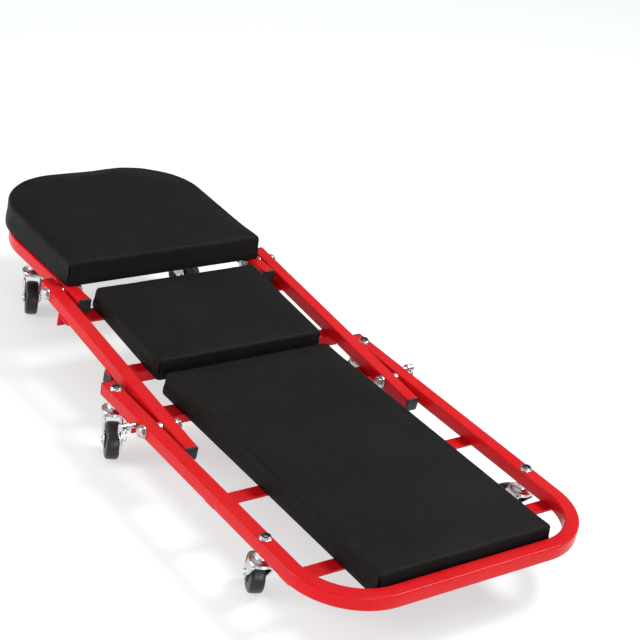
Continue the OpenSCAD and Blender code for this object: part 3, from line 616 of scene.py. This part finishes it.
def gridObject(name, grid):
    # a closed grid of points as a plain object, for the simulation
    nu, nv = grid.shape[:2]
    mesh = bpy.data.meshes.new(name)
    verts, faces = facedOut(grid.reshape(-1, 3), [gridFaces(nu, nv, False, True)])
    mesh.from_pydata(verts.tolist(), [], [corners for f in faces for corners in f.tolist()])
    thing = bpy.data.objects.new(name, mesh)
    bpy.context.scene.collection.objects.link(thing)
    return thing


def coordinates(mesh):
    # the mesh's points as an array
    co = np.empty(len(mesh.vertices) * 3, np.float32)
    mesh.vertices.foreach_get("co", co)
    return co.reshape(-1, 3).astype(float)


def puffField(name, grid):
    # blows up a voxel copy with cloth pressure and returns its points at rest and how far each one moved
    proxy = gridObject(name + "Proxy", grid)
    remesh = proxy.modifiers.new("voxels", "REMESH")
    remesh.mode, remesh.voxel_size = "VOXEL", padDetail["voxel"]
    solid = bpy.data.meshes.new_from_object(proxy.evaluated_get(bpy.context.evaluated_depsgraph_get()))
    bpy.data.objects.remove(proxy)
    balloon = bpy.data.objects.new(name + "Balloon", solid)
    bpy.context.scene.collection.objects.link(balloon)
    rest = coordinates(solid)
    held = balloon.vertex_groups.new(name="held")
    weight = 1 - np.clip((rest[:, 2] - 6 * mm) / (8 * mm), 0, 1)
    for level in np.unique(np.round(weight, 1)):
        held.add(np.nonzero(np.round(weight, 1) == level)[0].tolist(), float(level), "REPLACE")
    cloth = balloon.modifiers.new("cloth", "CLOTH")
    s = cloth.settings
    s.use_pressure, s.uniform_pressure_force = True, padDetail["pressure"]
    s.vertex_group_mass, s.pin_stiffness = "held", 5.0
    s.quality, s.mass = 6, 0.3
    s.tension_stiffness = s.compression_stiffness = 30
    s.shear_stiffness, s.bending_stiffness = 15, 4
    s.effector_weights.gravity = 0
    cloth.point_cache.frame_start, cloth.point_cache.frame_end = 1, padDetail["frames"]
    scene = bpy.context.scene
    for step in range(1, padDetail["frames"] + 1):
        scene.frame_set(step)
    blown = balloon.evaluated_get(bpy.context.evaluated_depsgraph_get()).to_mesh()
    moved = coordinates(blown) - rest
    scene.frame_set(1)
    bpy.data.objects.remove(balloon)
    size = np.linalg.norm(moved, axis=1)
    cap = padDetail["puffCap"]
    moved *= (cap * np.tanh(size / cap) / np.maximum(size, 1e-9))[:, None]
    print(name, "puffed", round(float(size.max() / mm), 1), "mm")
    return rest, moved


def carryField(points, rest, moved, near=14, lot=400):
    # each point moves by the mean of its nearest field points, weighted by 1 / (distance^2 + soft), a lot at a time
    soft = 4e-5
    out = np.empty_like(points)
    for start in range(0, len(points), lot):
        some = points[start:start + lot]
        square = (some ** 2).sum(1)[:, None] + (rest ** 2).sum(1) - 2 * some @ rest.T
        found = np.argpartition(square, near, axis=1)[:, :near]
        weight = 1 / (np.take_along_axis(square, found, 1) + soft)
        out[start:start + lot] = (moved[found] * weight[..., None]).sum(1) / weight.sum(1)[:, None]
    return out


def padPlace(spec):
    # corner of the pad's foot edge on its underside, and the pad's own directions
    low, high = boxOf(spec["node"] + "_cover")
    if not spec["tilt"]:
        size = high - low + [0.0, spec["wider"], 0.0]
        return np.array([high[0], 0, low[2]]), xDir, zDir, size[0], size[2], size[1]
    across = high - low
    sinA, cosA = armUp[0], armUp[2]
    length = (across[0] * cosA - across[2] * sinA) / (cosA ** 2 - sinA ** 2)
    thick = (across[2] * cosA - across[0] * sinA) / (cosA ** 2 - sinA ** 2)
    return onArms(padDetail["midFootU"], 0, -tubeSide / 2), -armDir, armUp, length, thick, across[1]


def makePad(name, spec):
    # the pad's surface, blown up and then cut by slits: near each, points move in by
    # slitDeep * exp(-(off / slitHalf)^2) and the lips beside it out; the top carries a slow ripple of sines
    d = padDetail
    origin, along, up, length, thick, width = padPlace(spec)
    fineGrid, at, total = padSurface(length, width, thick, spec, d["spacing"], 4.0, 26, 9)
    points = fineGrid.reshape(-1, 3)
    coarse, _, _ = padSurface(length, width, thick, spec, 8 * mm, 0.0, 12, 5)
    rest, moved = puffField(name, coarse)
    points = points + spec["puff"] * carryField(points, rest, moved)
    points = points.reshape(fineGrid.shape)
    z = points[..., 2]
    wall = np.clip((z - 1.5 * mm) / (3 * mm), 0, 1) * np.clip((thick - 5.5 * mm - z) / (4 * mm), 0, 1)
    h = width / 2
    slits = [h - d["slitIn"], total - h + d["slitIn"]]            # on the foot face, and on a square head face too
    if spec["headR"] < 20 * mm:
        cornerArc = 2 * spec["footR"] * 0.43                      # by how much two arcs shorten the outline
        slits += [h + length - cornerArc + d["slitIn"], total - h - length + cornerArc - d["slitIn"]]
    push, slitShade = np.zeros(z.shape), np.zeros(z.shape)
    deep = np.clip((z - d["boardTop"]) / (4 * mm), 0.3, 1)
    for place in slits:
        off = np.abs(at - place)[None, :]
        push += d["slitDeep"] * np.exp(-(off / d["slitHalf"]) ** 2) * wall * deep
        push -= d["lip"] * np.exp(-((off - 3 * mm) / (1.6 * mm)) ** 2) * wall
        # the mask for the painted shade in the cuts of the pleats
        slitShade = np.maximum(slitShade, np.exp(-(off / (1.0 * mm)) ** 2) * wall)
    centre = np.stack([np.clip(points[..., 0], -length + h, -h), np.zeros(z.shape)], -1)
    outward = points[..., :2] - centre
    outward /= np.maximum(np.linalg.norm(outward, axis=-1, keepdims=True), 1e-6)
    points[..., :2] -= outward * push[..., None]
    x, y = points[..., 0], points[..., 1]
    ripple = np.sin(x * 47 + 1.3 * np.sin(y * 31)) * np.sin(y * 39 + 2.1 * np.sin(x * 23)) * d["ripple"]
    points[..., 2] += ripple * np.clip((z - thick * 0.6) / (thick * 0.4), 0, 1)
    world = origin + points[..., :1] * along + points[..., 1:2] * yDir + points[..., 2:] * up
    faces = gridFaces(*world.shape[:2], False, True)
    world = world.reshape(-1, 3)
    piece = makePiece(name, [facedOut(world, [faces])], blackVinyl, spec["body"],
                      [spec["node"] + "_cover", spec["node"] + "_foam"], 180)
    # stores that mask for the material's painted shade
    mark = piece.data.attributes.new("slitShade", "FLOAT", "POINT")
    mark.data.foreach_set("value", slitShade.ravel()[closeUp(world, [])[2]].astype(np.float32))


for padName, padSpec in pads.items():
    makePad(padName, padSpec)
print("pads made")


casterLook = {"crownTop": 57.0 * mm, "legOut": 12.7 * mm, "sheet": 2.3 * mm, "foldR": 4.0 * mm, "eyeR": 7.0 * mm,
              "rib": 0.9 * mm, "crownBack": 13.0 * mm, "crownFront": 13.4 * mm, "flare": 0.5 * mm, "rodR": 3 * mm,
              "stemFrom": 69 * mm, "stemPast": 2.5 * mm, "nutFlats": 12.6 * mm, "nutHigh": 2.6 * mm,
              "nutBore": 4.95 * mm, "nutRise": 1.0 * mm}

# sections turned about an axis: radius and height in millimetres, then the radius of the arcs at their corners
turnedLook = {
    "tread": ([[3.2, 10.0], [5.6, 10.0], [6.2, 9.6], [6.8, 7.6], [7.6, 6.7], [10.6, 6.5], [11.7, 7.1], [12.5, 8.5],
               [13.3, 8.9], [17.6, 8.95], [18.1, 8.6], [18.7, 8.6], [19.2, 8.95], [21.6, 8.9], [23.3, 8.2],
               [24.4, 6.9], [24.8, 4.8], [24.9, 2.4], [24.93, 0.35], [25.0, 0.12]], 0.5),
    "lowRace": ([[0, 54.4], [14.4, 54.4], [14.6, 55.4], [14.2, 57.0], [12.6, 57.25], [11.4, 56.9], [0, 56.9]], 0.6),
    "topRace": ([[0, 57.4], [13.2, 57.4], [13.4, 57.5], [15.9, 57.6], [16.2, 58.4], [15.6, 60.0], [12.6, 60.6],
                 [11.6, 61.4], [10.0, 62.6], [9.0, 63.4], [8.4, 65.0], [8.2, 69.95], [0, 69.95]], 0.7),
    "kingpin": ([[0, 52.0], [4.2, 52.15], [6.0, 53.0], [6.3, 54.4], [4.0, 54.5], [4.0, 58.0], [0, 58.0]], 0.6),
    "rivetHead": ([[0, -0.3], [4.4, -0.3], [4.6, 0.3], [4.0, 1.25], [3.0, 1.6], [2.1, 1.3], [1.7, 0.5],
                   [0, 0.4]], 0.3),
    "nutFlange": ([[5.0, 0.0], [8.1, 0.0], [8.2, 0.5], [7.7, 1.3], [6.6, 1.6], [5.0, 1.6]], 0.3),
    "nutCollar": ([[3.9, 2.7], [5.7, 2.7], [5.7, 4.1], [5.2, 4.4], [4.2, 4.3], [3.9, 3.9]], 0.25),
}


def casterPlace(name):
    # swivel axis point on the floor, trail direction, sideways direction, trail, wheel radius
    swivel = np.array(joints[name + "_swivel"]["pos_m"])
    axle = np.array(joints[name + "_roll"]["pos_m"])
    trail = axle - swivel
    trail[2] = 0
    length = float(np.linalg.norm(trail))
    forward = trail / length
    return np.array([swivel[0], swivel[1], 0.0]), forward, np.cross(zDir, forward), length, float(axle[2])


def turnedPart(look, origin, axis, n, ring=False, mirrored=False):
    # one of the turned sections as a closed part: a solid of revolution, or a ring where the section has a bore
    section, cornerR = np.array(turnedLook[look][0]) * mm, turnedLook[look][1] * mm
    if mirrored:
        section = np.vstack([section, section[::-1] * [1, -1]])
    grid = revolve(origin, axis, roundProfile(section, cornerR), n)
    return skin(grid.transpose(1, 0, 2), True, True, False) if ring else skin(grid)


def placed(points, origin, forward, aside):
    # points given as forward, aside and up from an origin
    return origin + points[..., :1] * forward + points[..., 1:2] * aside + points[..., 2:] * zDir


def wheelPart(name):
    # profile turned about the axle: crowned tread with a moulding line, plain face, recess round the hub
    origin, forward, aside, trail, r = casterPlace(name)
    return turnedPart("tread", origin + trail * forward + r * zDir, aside, 80, True, True)


def forkPart(name):
    # bent sheet: stations run up one leg, over the crown and down the other; at each, points run from the back
    # edge to the front edge; the leg narrows to a round eye and a pressed rib stands out along its middle
    look = casterLook
    origin, forward, aside, trail, r = casterPlace(name)
    fold, out, top = look["foldR"], look["legOut"], look["crownTop"]
    t = np.linspace(0, math.pi / 2, 9)
    eye = np.linspace(0.15, math.pi / 2, 9)[:-1]
    legZ = np.concatenate([r - look["eyeR"] * np.cos(eye), np.linspace(r, top - fold, 16)])
    leg = np.stack([np.full(len(legZ), -out), legZ], 1)
    bend = np.stack([-out + fold - fold * np.cos(t), top - fold + fold * np.sin(t)], 1)[1:]
    flat = np.stack([np.linspace(-out + fold, out - fold, 9)[1:-1], np.full(7, top)], 1)
    path = np.vstack([leg, bend, flat, (bend * [-1, 1])[::-1], (leg * [-1, 1])[::-1]])
    z = np.minimum(path[:, 1], top)
    rise = np.clip((z - r) / (top - fold - r), 0, 1)
    smooth = rise ** 0.85
    backX = (trail - look["eyeR"]) * (1 - smooth) - look["crownBack"] * smooth
    frontX = (trail + look["eyeR"]) * (1 - rise ** 1.6) + look["crownFront"] * rise ** 1.6
    below = np.clip((r - path[:, 1]) / look["eyeR"], 0, 1)
    narrow = np.sqrt(np.clip(1 - below ** 2, 0.0, 1))
    backX = np.where(below > 0, trail - look["eyeR"] * narrow, backX)
    frontX = np.where(below > 0, trail + look["eyeR"] * narrow, frontX)
    v = np.linspace(0, 1, 15)
    x = backX[:, None] * (1 - v) + frontX[:, None] * v
    onLeg = np.clip((top - fold - path[:, 1]) / (6 * mm), 0, 1)
    onLeg *= np.clip((path[:, 1] - r - 7 * mm) / (5 * mm), 0, 1)
    rib = look["rib"] * np.exp(-((v - 0.5) / 0.14) ** 2)[None, :] * onLeg[:, None]
    flare = look["flare"] * (np.abs(v - 0.5) * 2)[None, :] ** 6 * onLeg[:, None]
    y = path[:, 0][:, None] + np.sign(path[:, 0])[:, None] * (rib - flare)
    outer = np.stack([x, y, np.broadcast_to(path[:, 1][:, None], x.shape)], -1)
    tangent = np.gradient(path, axis=0)
    tangent /= np.linalg.norm(tangent, axis=1)[:, None]
    inwardY, inwardZ = tangent[:, 1], -tangent[:, 0]
    inner = outer + look["sheet"] * np.stack([np.zeros(len(path)), inwardY, inwardZ], 1)[:, None, :]
    loop = np.concatenate([outer, inner[:, ::-1]], 1)
    return skin(placed(loop, origin, forward, aside))


def stemPart(name, low, high):
    # threaded stem: radius waves between root and crest along the axis, then a bevelled end
    origin = casterPlace(name)[0]
    z = np.arange(low, high - 0.8 * mm, 0.25 * mm)
    r = 4.85 * mm - 0.35 * mm * np.abs(np.sin(math.pi * z / (1.25 * mm)))
    profile = np.vstack([[0, low], np.stack([r, z], 1), [4.3 * mm, high - 0.3 * mm], [3.6 * mm, high], [0, high]])
    return skin(revolve(origin, zDir, profile, 32))


def hexPart(origin, axis, acrossFlats, height, bore, turn=0.0, chamfer=0.9 * mm):
    # nut turned by an angle: radius flats / 2 / cos(angle from the nearest flat's middle), limited by a cone at
    # both ends; from the bore out over the low face, up the flats and back over the high face into the bore
    axis = np.asarray(axis, float) / np.linalg.norm(axis)
    across = np.cross(axis, zDir if abs(axis[2]) < 0.9 else xDir)
    across /= np.linalg.norm(across)
    third = np.cross(axis, across)
    t = np.linspace(0, 2 * math.pi, 72, endpoint=False)
    flat = acrossFlats / 2
    reach = flat / np.cos((t + math.pi / 6) % (math.pi / 3) - math.pi / 6)
    t = t + turn
    ring = np.cos(t)[:, None] * across + np.sin(t)[:, None] * third
    cone = [(0.0, 0.99), (chamfer * 0.35, 1.06), (chamfer * 0.75, 1.16)]
    rows = [(bore, 0.0), (flat * 0.90, 0.0)]
    rows += [(np.minimum(reach, flat * limit), h) for h, limit in cone]
    rows += [(np.minimum(reach, flat * limit), height - h) for h, limit in cone[::-1]]
    rows += [(flat * 0.90, height), (flat * 0.86, height + 0.12 * mm), (bore + 0.5 * mm, height),
             (bore, height - 0.6 * mm)]
    grid = np.stack([origin + np.broadcast_to(r, t.shape)[:, None] * ring + h * axis for r, h in rows])
    return skin(grid, True, True, False)


def axleParts(name):
    # hollow rivet through the fork: a rod, and on each side a rolled head whose height falls into a dimple
    origin, forward, aside, trail, r = casterPlace(name)
    centre = origin + trail * forward + r * zDir
    out, rodR = casterLook["legOut"], casterLook["rodR"]
    rod = skin(revolve(centre - out * aside, aside, [[0, 0], [rodR, 0], [rodR, 2 * out], [0, 2 * out]], 24))
    return [rod] + [turnedPart("rivetHead", centre + s * out * aside, s * aside, 40) for s in (-1, 1)]


def nutParts(place):
    # plain flange ring with a rounded rim, and the hexagon that stands on it
    look = casterLook
    return [turnedPart("nutFlange", place, zDir, 48, True),
            hexPart(place + look["nutRise"] * zDir, zDir, look["nutFlats"], look["nutHigh"], look["nutBore"], 0.4)]


railTop, headStrapTop = boxOf("base_frame")[1][2], boxOf("head_caster_strap")[1][2]
for caster in casterNames:
    swivelBody, origin = caster + "_swivel_body", casterPlace(caster)[0]
    makePiece(caster + "Wheel", [wheelPart(caster)], wheelPlastic, caster + "_wheel_body",
              [caster + "_wheel"], 40)
    makePiece(caster + "Fork", [forkPart(caster), turnedPart("lowRace", origin, zDir, 56)], zincPlate, swivelBody,
              [caster + "_fork"], 40)
    makePiece(caster + "Axle", axleParts(caster), zincPlate, swivelBody, [caster + "_axle"], 30)
for group, body, top, label in ((casterNames[:4], "base", railTop, "base"),
                                (casterNames[4:], "head_frame_body", headStrapTop, "head")):
    races, threads, nuts, collars = [], [], [], []
    for caster in group:
        origin = casterPlace(caster)[0]
        seat = origin + top * zDir                                # where the nut sits
        races += [turnedPart("topRace", origin, zDir, 64), turnedPart("kingpin", origin, zDir, 32)]
        threads.append(stemPart(caster, casterLook["stemFrom"], top + casterLook["stemPast"]))
        nuts += nutParts(seat)
        collars.append(turnedPart("nutCollar", seat, zDir, 40, True))
    makePiece(label + "CasterRaces", races + threads, zincPlate, body, [label + "_caster_stems"], 40)
    makePiece(label + "CasterNuts", nuts, zincPlate, body, [label + "_caster_nuts"], 30)
    makePiece(label + "NutCollars", collars, plugPlastic, body, [], 30)
print("casters made")


plugLook = {"plate": 3.0 * mm, "edge": 1.1 * mm, "dome": 0.35 * mm, "domeIn": 0.28, "tongue": 2 * mm,
            "tongueIn": 1.6 * mm}


def plugPart(face, outward, sideways, upwards):
    # square plate on a tube end: its outline shrinks by edge * (1 - cos) as its rim rises by edge * sin, then a
    # slight dome closes it
    look, edge, plate = plugLook, plugLook["edge"], plugLook["plate"]
    t = np.linspace(0, math.pi / 2, 6)
    depth = np.concatenate([[-look["tongue"], 0, 0], plate - edge + edge * np.sin(t), [plate + look["dome"]]])
    inset = np.concatenate([[look["tongueIn"], look["tongueIn"], 0], edge - edge * np.cos(t),
                            [tubeSide * look["domeIn"]]])
    rings = []
    for d, i in zip(depth, inset):
        outline = squareOutline(tubeSide - 2 * i, max(tubeLook["corner"] - i * 0.6, 0.8 * mm), 6)
        rings.append(face + d * outward + outline[:, :1] * sideways + outline[:, 1:] * upwards)
    return skin(np.stack(rings))


weldLook = {"radius": 1.7 * mm, "endRadius": 1.3 * mm, "sideRadius": 1.5 * mm, "pitch": 2.2 * mm, "wave": 0.12,
            "fade": 2 * mm}


def weldPart(start, end, normal, radius=weldLook["radius"]):
    # bead along an inside corner: round section whose radius waves by 12% every pitch and fades at both ends
    start, end = np.asarray(start, float), np.asarray(end, float)
    along, pitch = end - start, weldLook["pitch"]
    length = np.linalg.norm(along)
    along = along / length
    s = np.linspace(0, 1, max(int(length / (pitch / 5)), 8))
    wave = 1 + weldLook["wave"] * (2 * np.abs(np.sin(math.pi * s * length / pitch)) - 1)
    fade = np.sqrt(np.clip(np.minimum(s, 1 - s) * length / weldLook["fade"], 0.02, 1))
    t = np.linspace(0, 2 * math.pi, 10, endpoint=False)
    ring = np.cos(t)[:, None] * np.asarray(normal) + np.sin(t)[:, None] * np.cross(along, normal)
    line = start + s[:, None] * length * along
    return skin(line[:, None, :] + (radius * wave * fade)[:, None, None] * ring[None])


stapleLook = {"half": 5 * mm, "wide": 1.0 * mm, "thick": 0.6 * mm, "step": 38 * mm, "in": 17 * mm}


def stapleParts(places, up):
    # flat wire bridges: a small rounded bar carried out of the vinyl, level below it, and back in
    half, w, h = stapleLook["half"], stapleLook["wide"] / 2, stapleLook["thick"] / 2
    outline = cornerPolygon([[-w, -h], [w, -h], [w, h], [-w, h]], 0.15 * mm, 2)
    reach = half * np.array([-1, -1, -0.92, 0.92, 1, 1])[:, None]
    rise = np.array([0.6, -0.15, -0.35, -0.35, -0.15, 0.6])[:, None] * mm
    ones = np.ones((len(reach), 1))
    return [skin(sweep(place + reach * direction + rise * up, ones * np.cross(up, direction), ones * up, outline))
            for place, direction in places]


baseLow, baseHigh = boxOf("base_frame")
headLow, headHigh = boxOf("head_frame")
railY, headRailY = baseHigh[1] - tubeSide / 2, headHigh[1] - tubeSide / 2
railZ, headRailZ = (baseLow[2] + baseHigh[2]) / 2, (headLow[2] + headHigh[2]) / 2
armY = (boxOf("right_arm")[0][1] + boxOf("right_arm")[1][1]) / 2
armLook = {"tail": 58 * mm, "tip": 20 * mm, "crossU": 139 * mm, "restU": 286 * mm, "restWide": 28 * mm}

basePlugs = [plugPart(np.array([baseLow[0], s * railY, railZ]), -xDir, yDir, zDir) for s in (-1, 1)]
headPlugs = [plugPart(np.array([headHigh[0], s * headRailY, headRailZ]), xDir, yDir, zDir) for s in (-1, 1)]
armPlugs = [plugPart(onArms(u, s * armY, 0), outward, yDir, armUp)
            for u, outward in ((-armLook["tail"], -armDir), (armSpan + armLook["tip"], armDir)) for s in (-1, 1)]
makePiece("basePlugs", basePlugs, plugPlastic, "base", ["base_end_plugs"], 30)
makePiece("headPlugs", headPlugs, plugPlastic, "head_frame_body", ["head_end_plugs"], 30)
makePiece("armPlugs", armPlugs, plugPlastic, "mid_frame", ["arm_end_plugs"], 30)


def strapWelds(strap, railY, underside):
    # beads where a strap's two edges and its end meet the underside of the rail
    low, high = boxOf(strap)
    parts = []
    for s in (-1, 1):
        face = s * (railY - tubeSide / 2)
        inner, outer = face + s * 2 * mm, s * min(railY + tubeSide / 2 - 3 * mm, high[1] - 1 * mm)
        for x in (low[0], high[0]):
            parts.append(weldPart([x, inner, underside], [x, outer, underside], -zDir))
        z = underside - 0.2 * mm
        parts.append(weldPart([low[0] + 2 * mm, face, z], [high[0] - 2 * mm, face, z], -zDir,
                              weldLook["endRadius"]))
    return parts


def armWelds():
    # beads round the cross tube below each arm, and along the rest angle
    parts, half, rest = [], tubeSide / 2, armLook["restU"]
    for s in (-1, 1):
        inner, outer = s * (armY - half + 1 * mm), s * (armY + half - 1 * mm)
        for u in (armLook["crossU"] - half, armLook["crossU"] + half):
            parts.append(weldPart(onArms(u, inner, -half), onArms(u, outer, -half), -armUp))
        y, p = s * (armY - half), -half - 0.3 * mm
        for u0, u1 in ((armLook["crossU"] - half, armLook["crossU"] + half), (rest - armLook["restWide"], rest)):
            parts.append(weldPart(onArms(u0 + 2 * mm, y, p), onArms(u1 - 2 * mm, y, p), -armUp,
                                  weldLook["sideRadius"]))
    return parts


baseWelds = []
for strap in ("foot_strap", "middle_strap", "stop_angle"):
    baseWelds += strapWelds(strap, railY, baseLow[2])
headWelds = strapWelds("head_caster_strap", headRailY, headLow[2])
for name, parts, body in (("baseWelds", baseWelds, "base"), ("headWelds", headWelds, "head_frame_body"),
                          ("armWelds", armWelds(), "mid_frame")):
    makePiece(name, parts, redPowder, body, [], 60)


def padStaples(name, spec):
    # staples at even steps round the underside, in from the edge and square to the outline
    origin, along, up, length, _, width = padPlace(spec)
    points, inward, at, total = padOutline(length, width, spec["headR"], spec["footR"], 3 * mm, 0.0)
    count = int(total / stapleLook["step"])
    where = (np.arange(count) + 0.5) * total / count
    places = []
    for k in np.searchsorted(at, where) % len(at):
        flat = points[k] + stapleLook["in"] * inward[k]
        places.append((origin + flat[0] * along + flat[1] * yDir, inward[k][0] * along + inward[k][1] * yDir))
    makePiece(name + "Staples", stapleParts(places, up), zincPlate, spec["body"], [], 40)


for padName, padSpec in pads.items():
    padStaples(padName, padSpec)

screwLook = {"high": 2.4 * mm, "domeR": 4.5 * mm, "domePower": 2.6, "rimR": 4.4 * mm, "underR": 2.0 * mm,
             "crossDeep": 1.1 * mm, "crossHalf": 0.42 * mm, "crossReach": 2.0 * mm, "apart": 11 * mm}


def screwPart(place, down, turn):
    # domed head on a polar grid: height high * sqrt(1 - (r / domeR)^2.6), less a cross pressed in with soft edges
    look = screwLook
    r = (np.concatenate([np.linspace(0.15, 2.5, 16), np.linspace(2.8, 4.2, 6)]) * mm)[:, None]
    t = np.linspace(0, 2 * math.pi, 64, endpoint=False)
    slim = np.minimum(np.abs(r * np.cos(t + turn)), np.abs(r * np.sin(t + turn)))
    cross = 1 / (1 + np.exp((slim - look["crossHalf"]) / (0.07 * mm)))
    cross /= 1 + np.exp((r - look["crossReach"]) / (0.12 * mm))
    height = look["high"] * np.sqrt(np.clip(1 - (r / look["domeR"]) ** look["domePower"], 0, 1))
    height = height - look["crossDeep"] * cross
    across = np.cross(down, yDir)
    across /= np.linalg.norm(across)
    ring = np.cos(t)[:, None] * across + np.sin(t)[:, None] * np.cross(down, across)
    head = place + r[..., None] * ring + height[..., None] * down
    rim, under = place + look["rimR"] * ring, place + look["underR"] * ring - 0.1 * mm * down
    return skin(np.concatenate([head, (rim + 0.5 * mm * down)[None], rim[None], under[None]]))


def screwParts(node, down):
    # one screw for each loose part of the CAD node, found by where its vertices gather across the pad
    parts = []
    head = coordinates(frame["nodes"][node].data)
    done = np.zeros(len(head), bool)
    while not done.all():
        flat = head - head[np.argmin(done)]                       # from the first vertex that is still left
        flat = flat - (flat @ down)[:, None] * down
        near = np.linalg.norm(flat, axis=1) < screwLook["apart"]
        done |= near
        group = head[near]
        bottom = group[(group @ down) > (group @ down).max() - 0.05 * mm]
        centre = (bottom.max(0) + bottom.min(0)) / 2
        parts.append(screwPart(centre - screwLook["high"] * down, down, 0.9 * len(parts) + 0.3))
    return parts


for padName, padSpec in pads.items():
    node = padSpec["node"] + "_screws"
    makePiece(padName + "Screws", screwParts(node, -armUp if padSpec["tilt"] else -zDir), zincPlate,
              padSpec["body"], [node], 35)
print("plugs, welds, staples and screws made")


floorLook = {"half": 14.0, "colour": (0.47, 0.515, 0.518, 1), "glow": 0.535}
lightLook = {"softbox": {"watts": 60, "place": (0.5, 1.5, 2.3), "aim": (0, 0, 0), "size": 1.0},
             "frontFill": {"watts": 22, "place": (2.3, -0.5, 0.42), "aim": (0, 0, 0.1), "size": 1.0},
             "leftFill": {"watts": 44, "place": (-0.8, -2.4, 0.75), "aim": (0, 0, 0.08), "size": 1.3}}


def makeStage():
    # plain pale floor that gives off a little light of its own
    mesh = bpy.data.meshes.new("floor")
    r = floorLook["half"]
    mesh.from_pydata([(-r, -r, 0), (r, -r, 0), (r, r, 0), (-r, r, 0)], [], [(0, 1, 2, 3)])
    floor = bpy.data.objects.new("floor", mesh)
    bpy.context.scene.collection.objects.link(floor)
    material, _, _ = startMaterial("paleFloor", Base_Color=floorLook["colour"], Roughness=0.9,
                                   Specular_IOR_Level=0.1, Emission_Color=(1, 1, 1, 1),
                                   Emission_Strength=floorLook["glow"])
    mesh.materials.append(material)


def makeLight(name, look):
    # round soft lamp turned to what it lights
    data = bpy.data.lights.new(name, "AREA")
    data.energy, data.shape, data.size = look["watts"], "DISK", look["size"]
    light = bpy.data.objects.new(name, data)
    bpy.context.scene.collection.objects.link(light)
    light.location = look["place"]
    light.rotation_euler = (Vector(look["aim"]) - Vector(look["place"])).to_track_quat("-Z", "Y").to_euler()


def makeCamera():
    # stands at place and looks at aim, rolled a little about its own line of sight
    view = {"place": (1.6132, -1.2068, 1.1843), "aim": (-0.0918, 0.1869, 0.080), "roll": 9.9, "lens": 95.1}
    data = bpy.data.cameras.new("camera")
    data.lens, data.sensor_width = view["lens"], 36.0
    camera = bpy.data.objects.new("camera", data)
    bpy.context.scene.collection.objects.link(camera)
    back = (Vector(view["place"]) - Vector(view["aim"])).normalized()
    level = Vector((0, 0, 1)).cross(back).normalized()
    turn = Matrix((level, back.cross(level), back)).transposed()
    turn = turn @ Matrix.Rotation(math.radians(view["roll"]), 3, "Z")
    camera.matrix_world = Matrix.Translation(view["place"]) @ turn.to_4x4()
    bpy.context.scene.camera = camera


def makeWorld():
    # studio surround: a darker band at the horizon that brightens towards the ceiling
    worldLook = {"low": (0.36, 0.36, 0.365, 1), "high": (1.0, 1.0, 1.0, 1), "strength": 0.68}
    world = bpy.data.worlds.new("studio")
    bpy.context.scene.world = world
    world.use_nodes = True
    tree = world.node_tree
    heading = tree.nodes.new("ShaderNodeTexCoord").outputs["Generated"]
    height = addNode(tree, "ShaderNodeSeparateXYZ", Vector=heading).outputs["Z"]
    colour = mixColour(tree, rampNode(tree, height, 0.3, 0.95), worldLook["low"], worldLook["high"])
    background = tree.nodes["Background"]
    tree.links.new(colour, background.inputs["Color"])
    background.inputs["Strength"].default_value = worldLook["strength"]


makeStage()
makeWorld()
for lightName, look in lightLook.items():
    makeLight(lightName, look)
makeCamera()
bpy.context.scene.view_settings.view_transform = "Standard"
print("stage set")
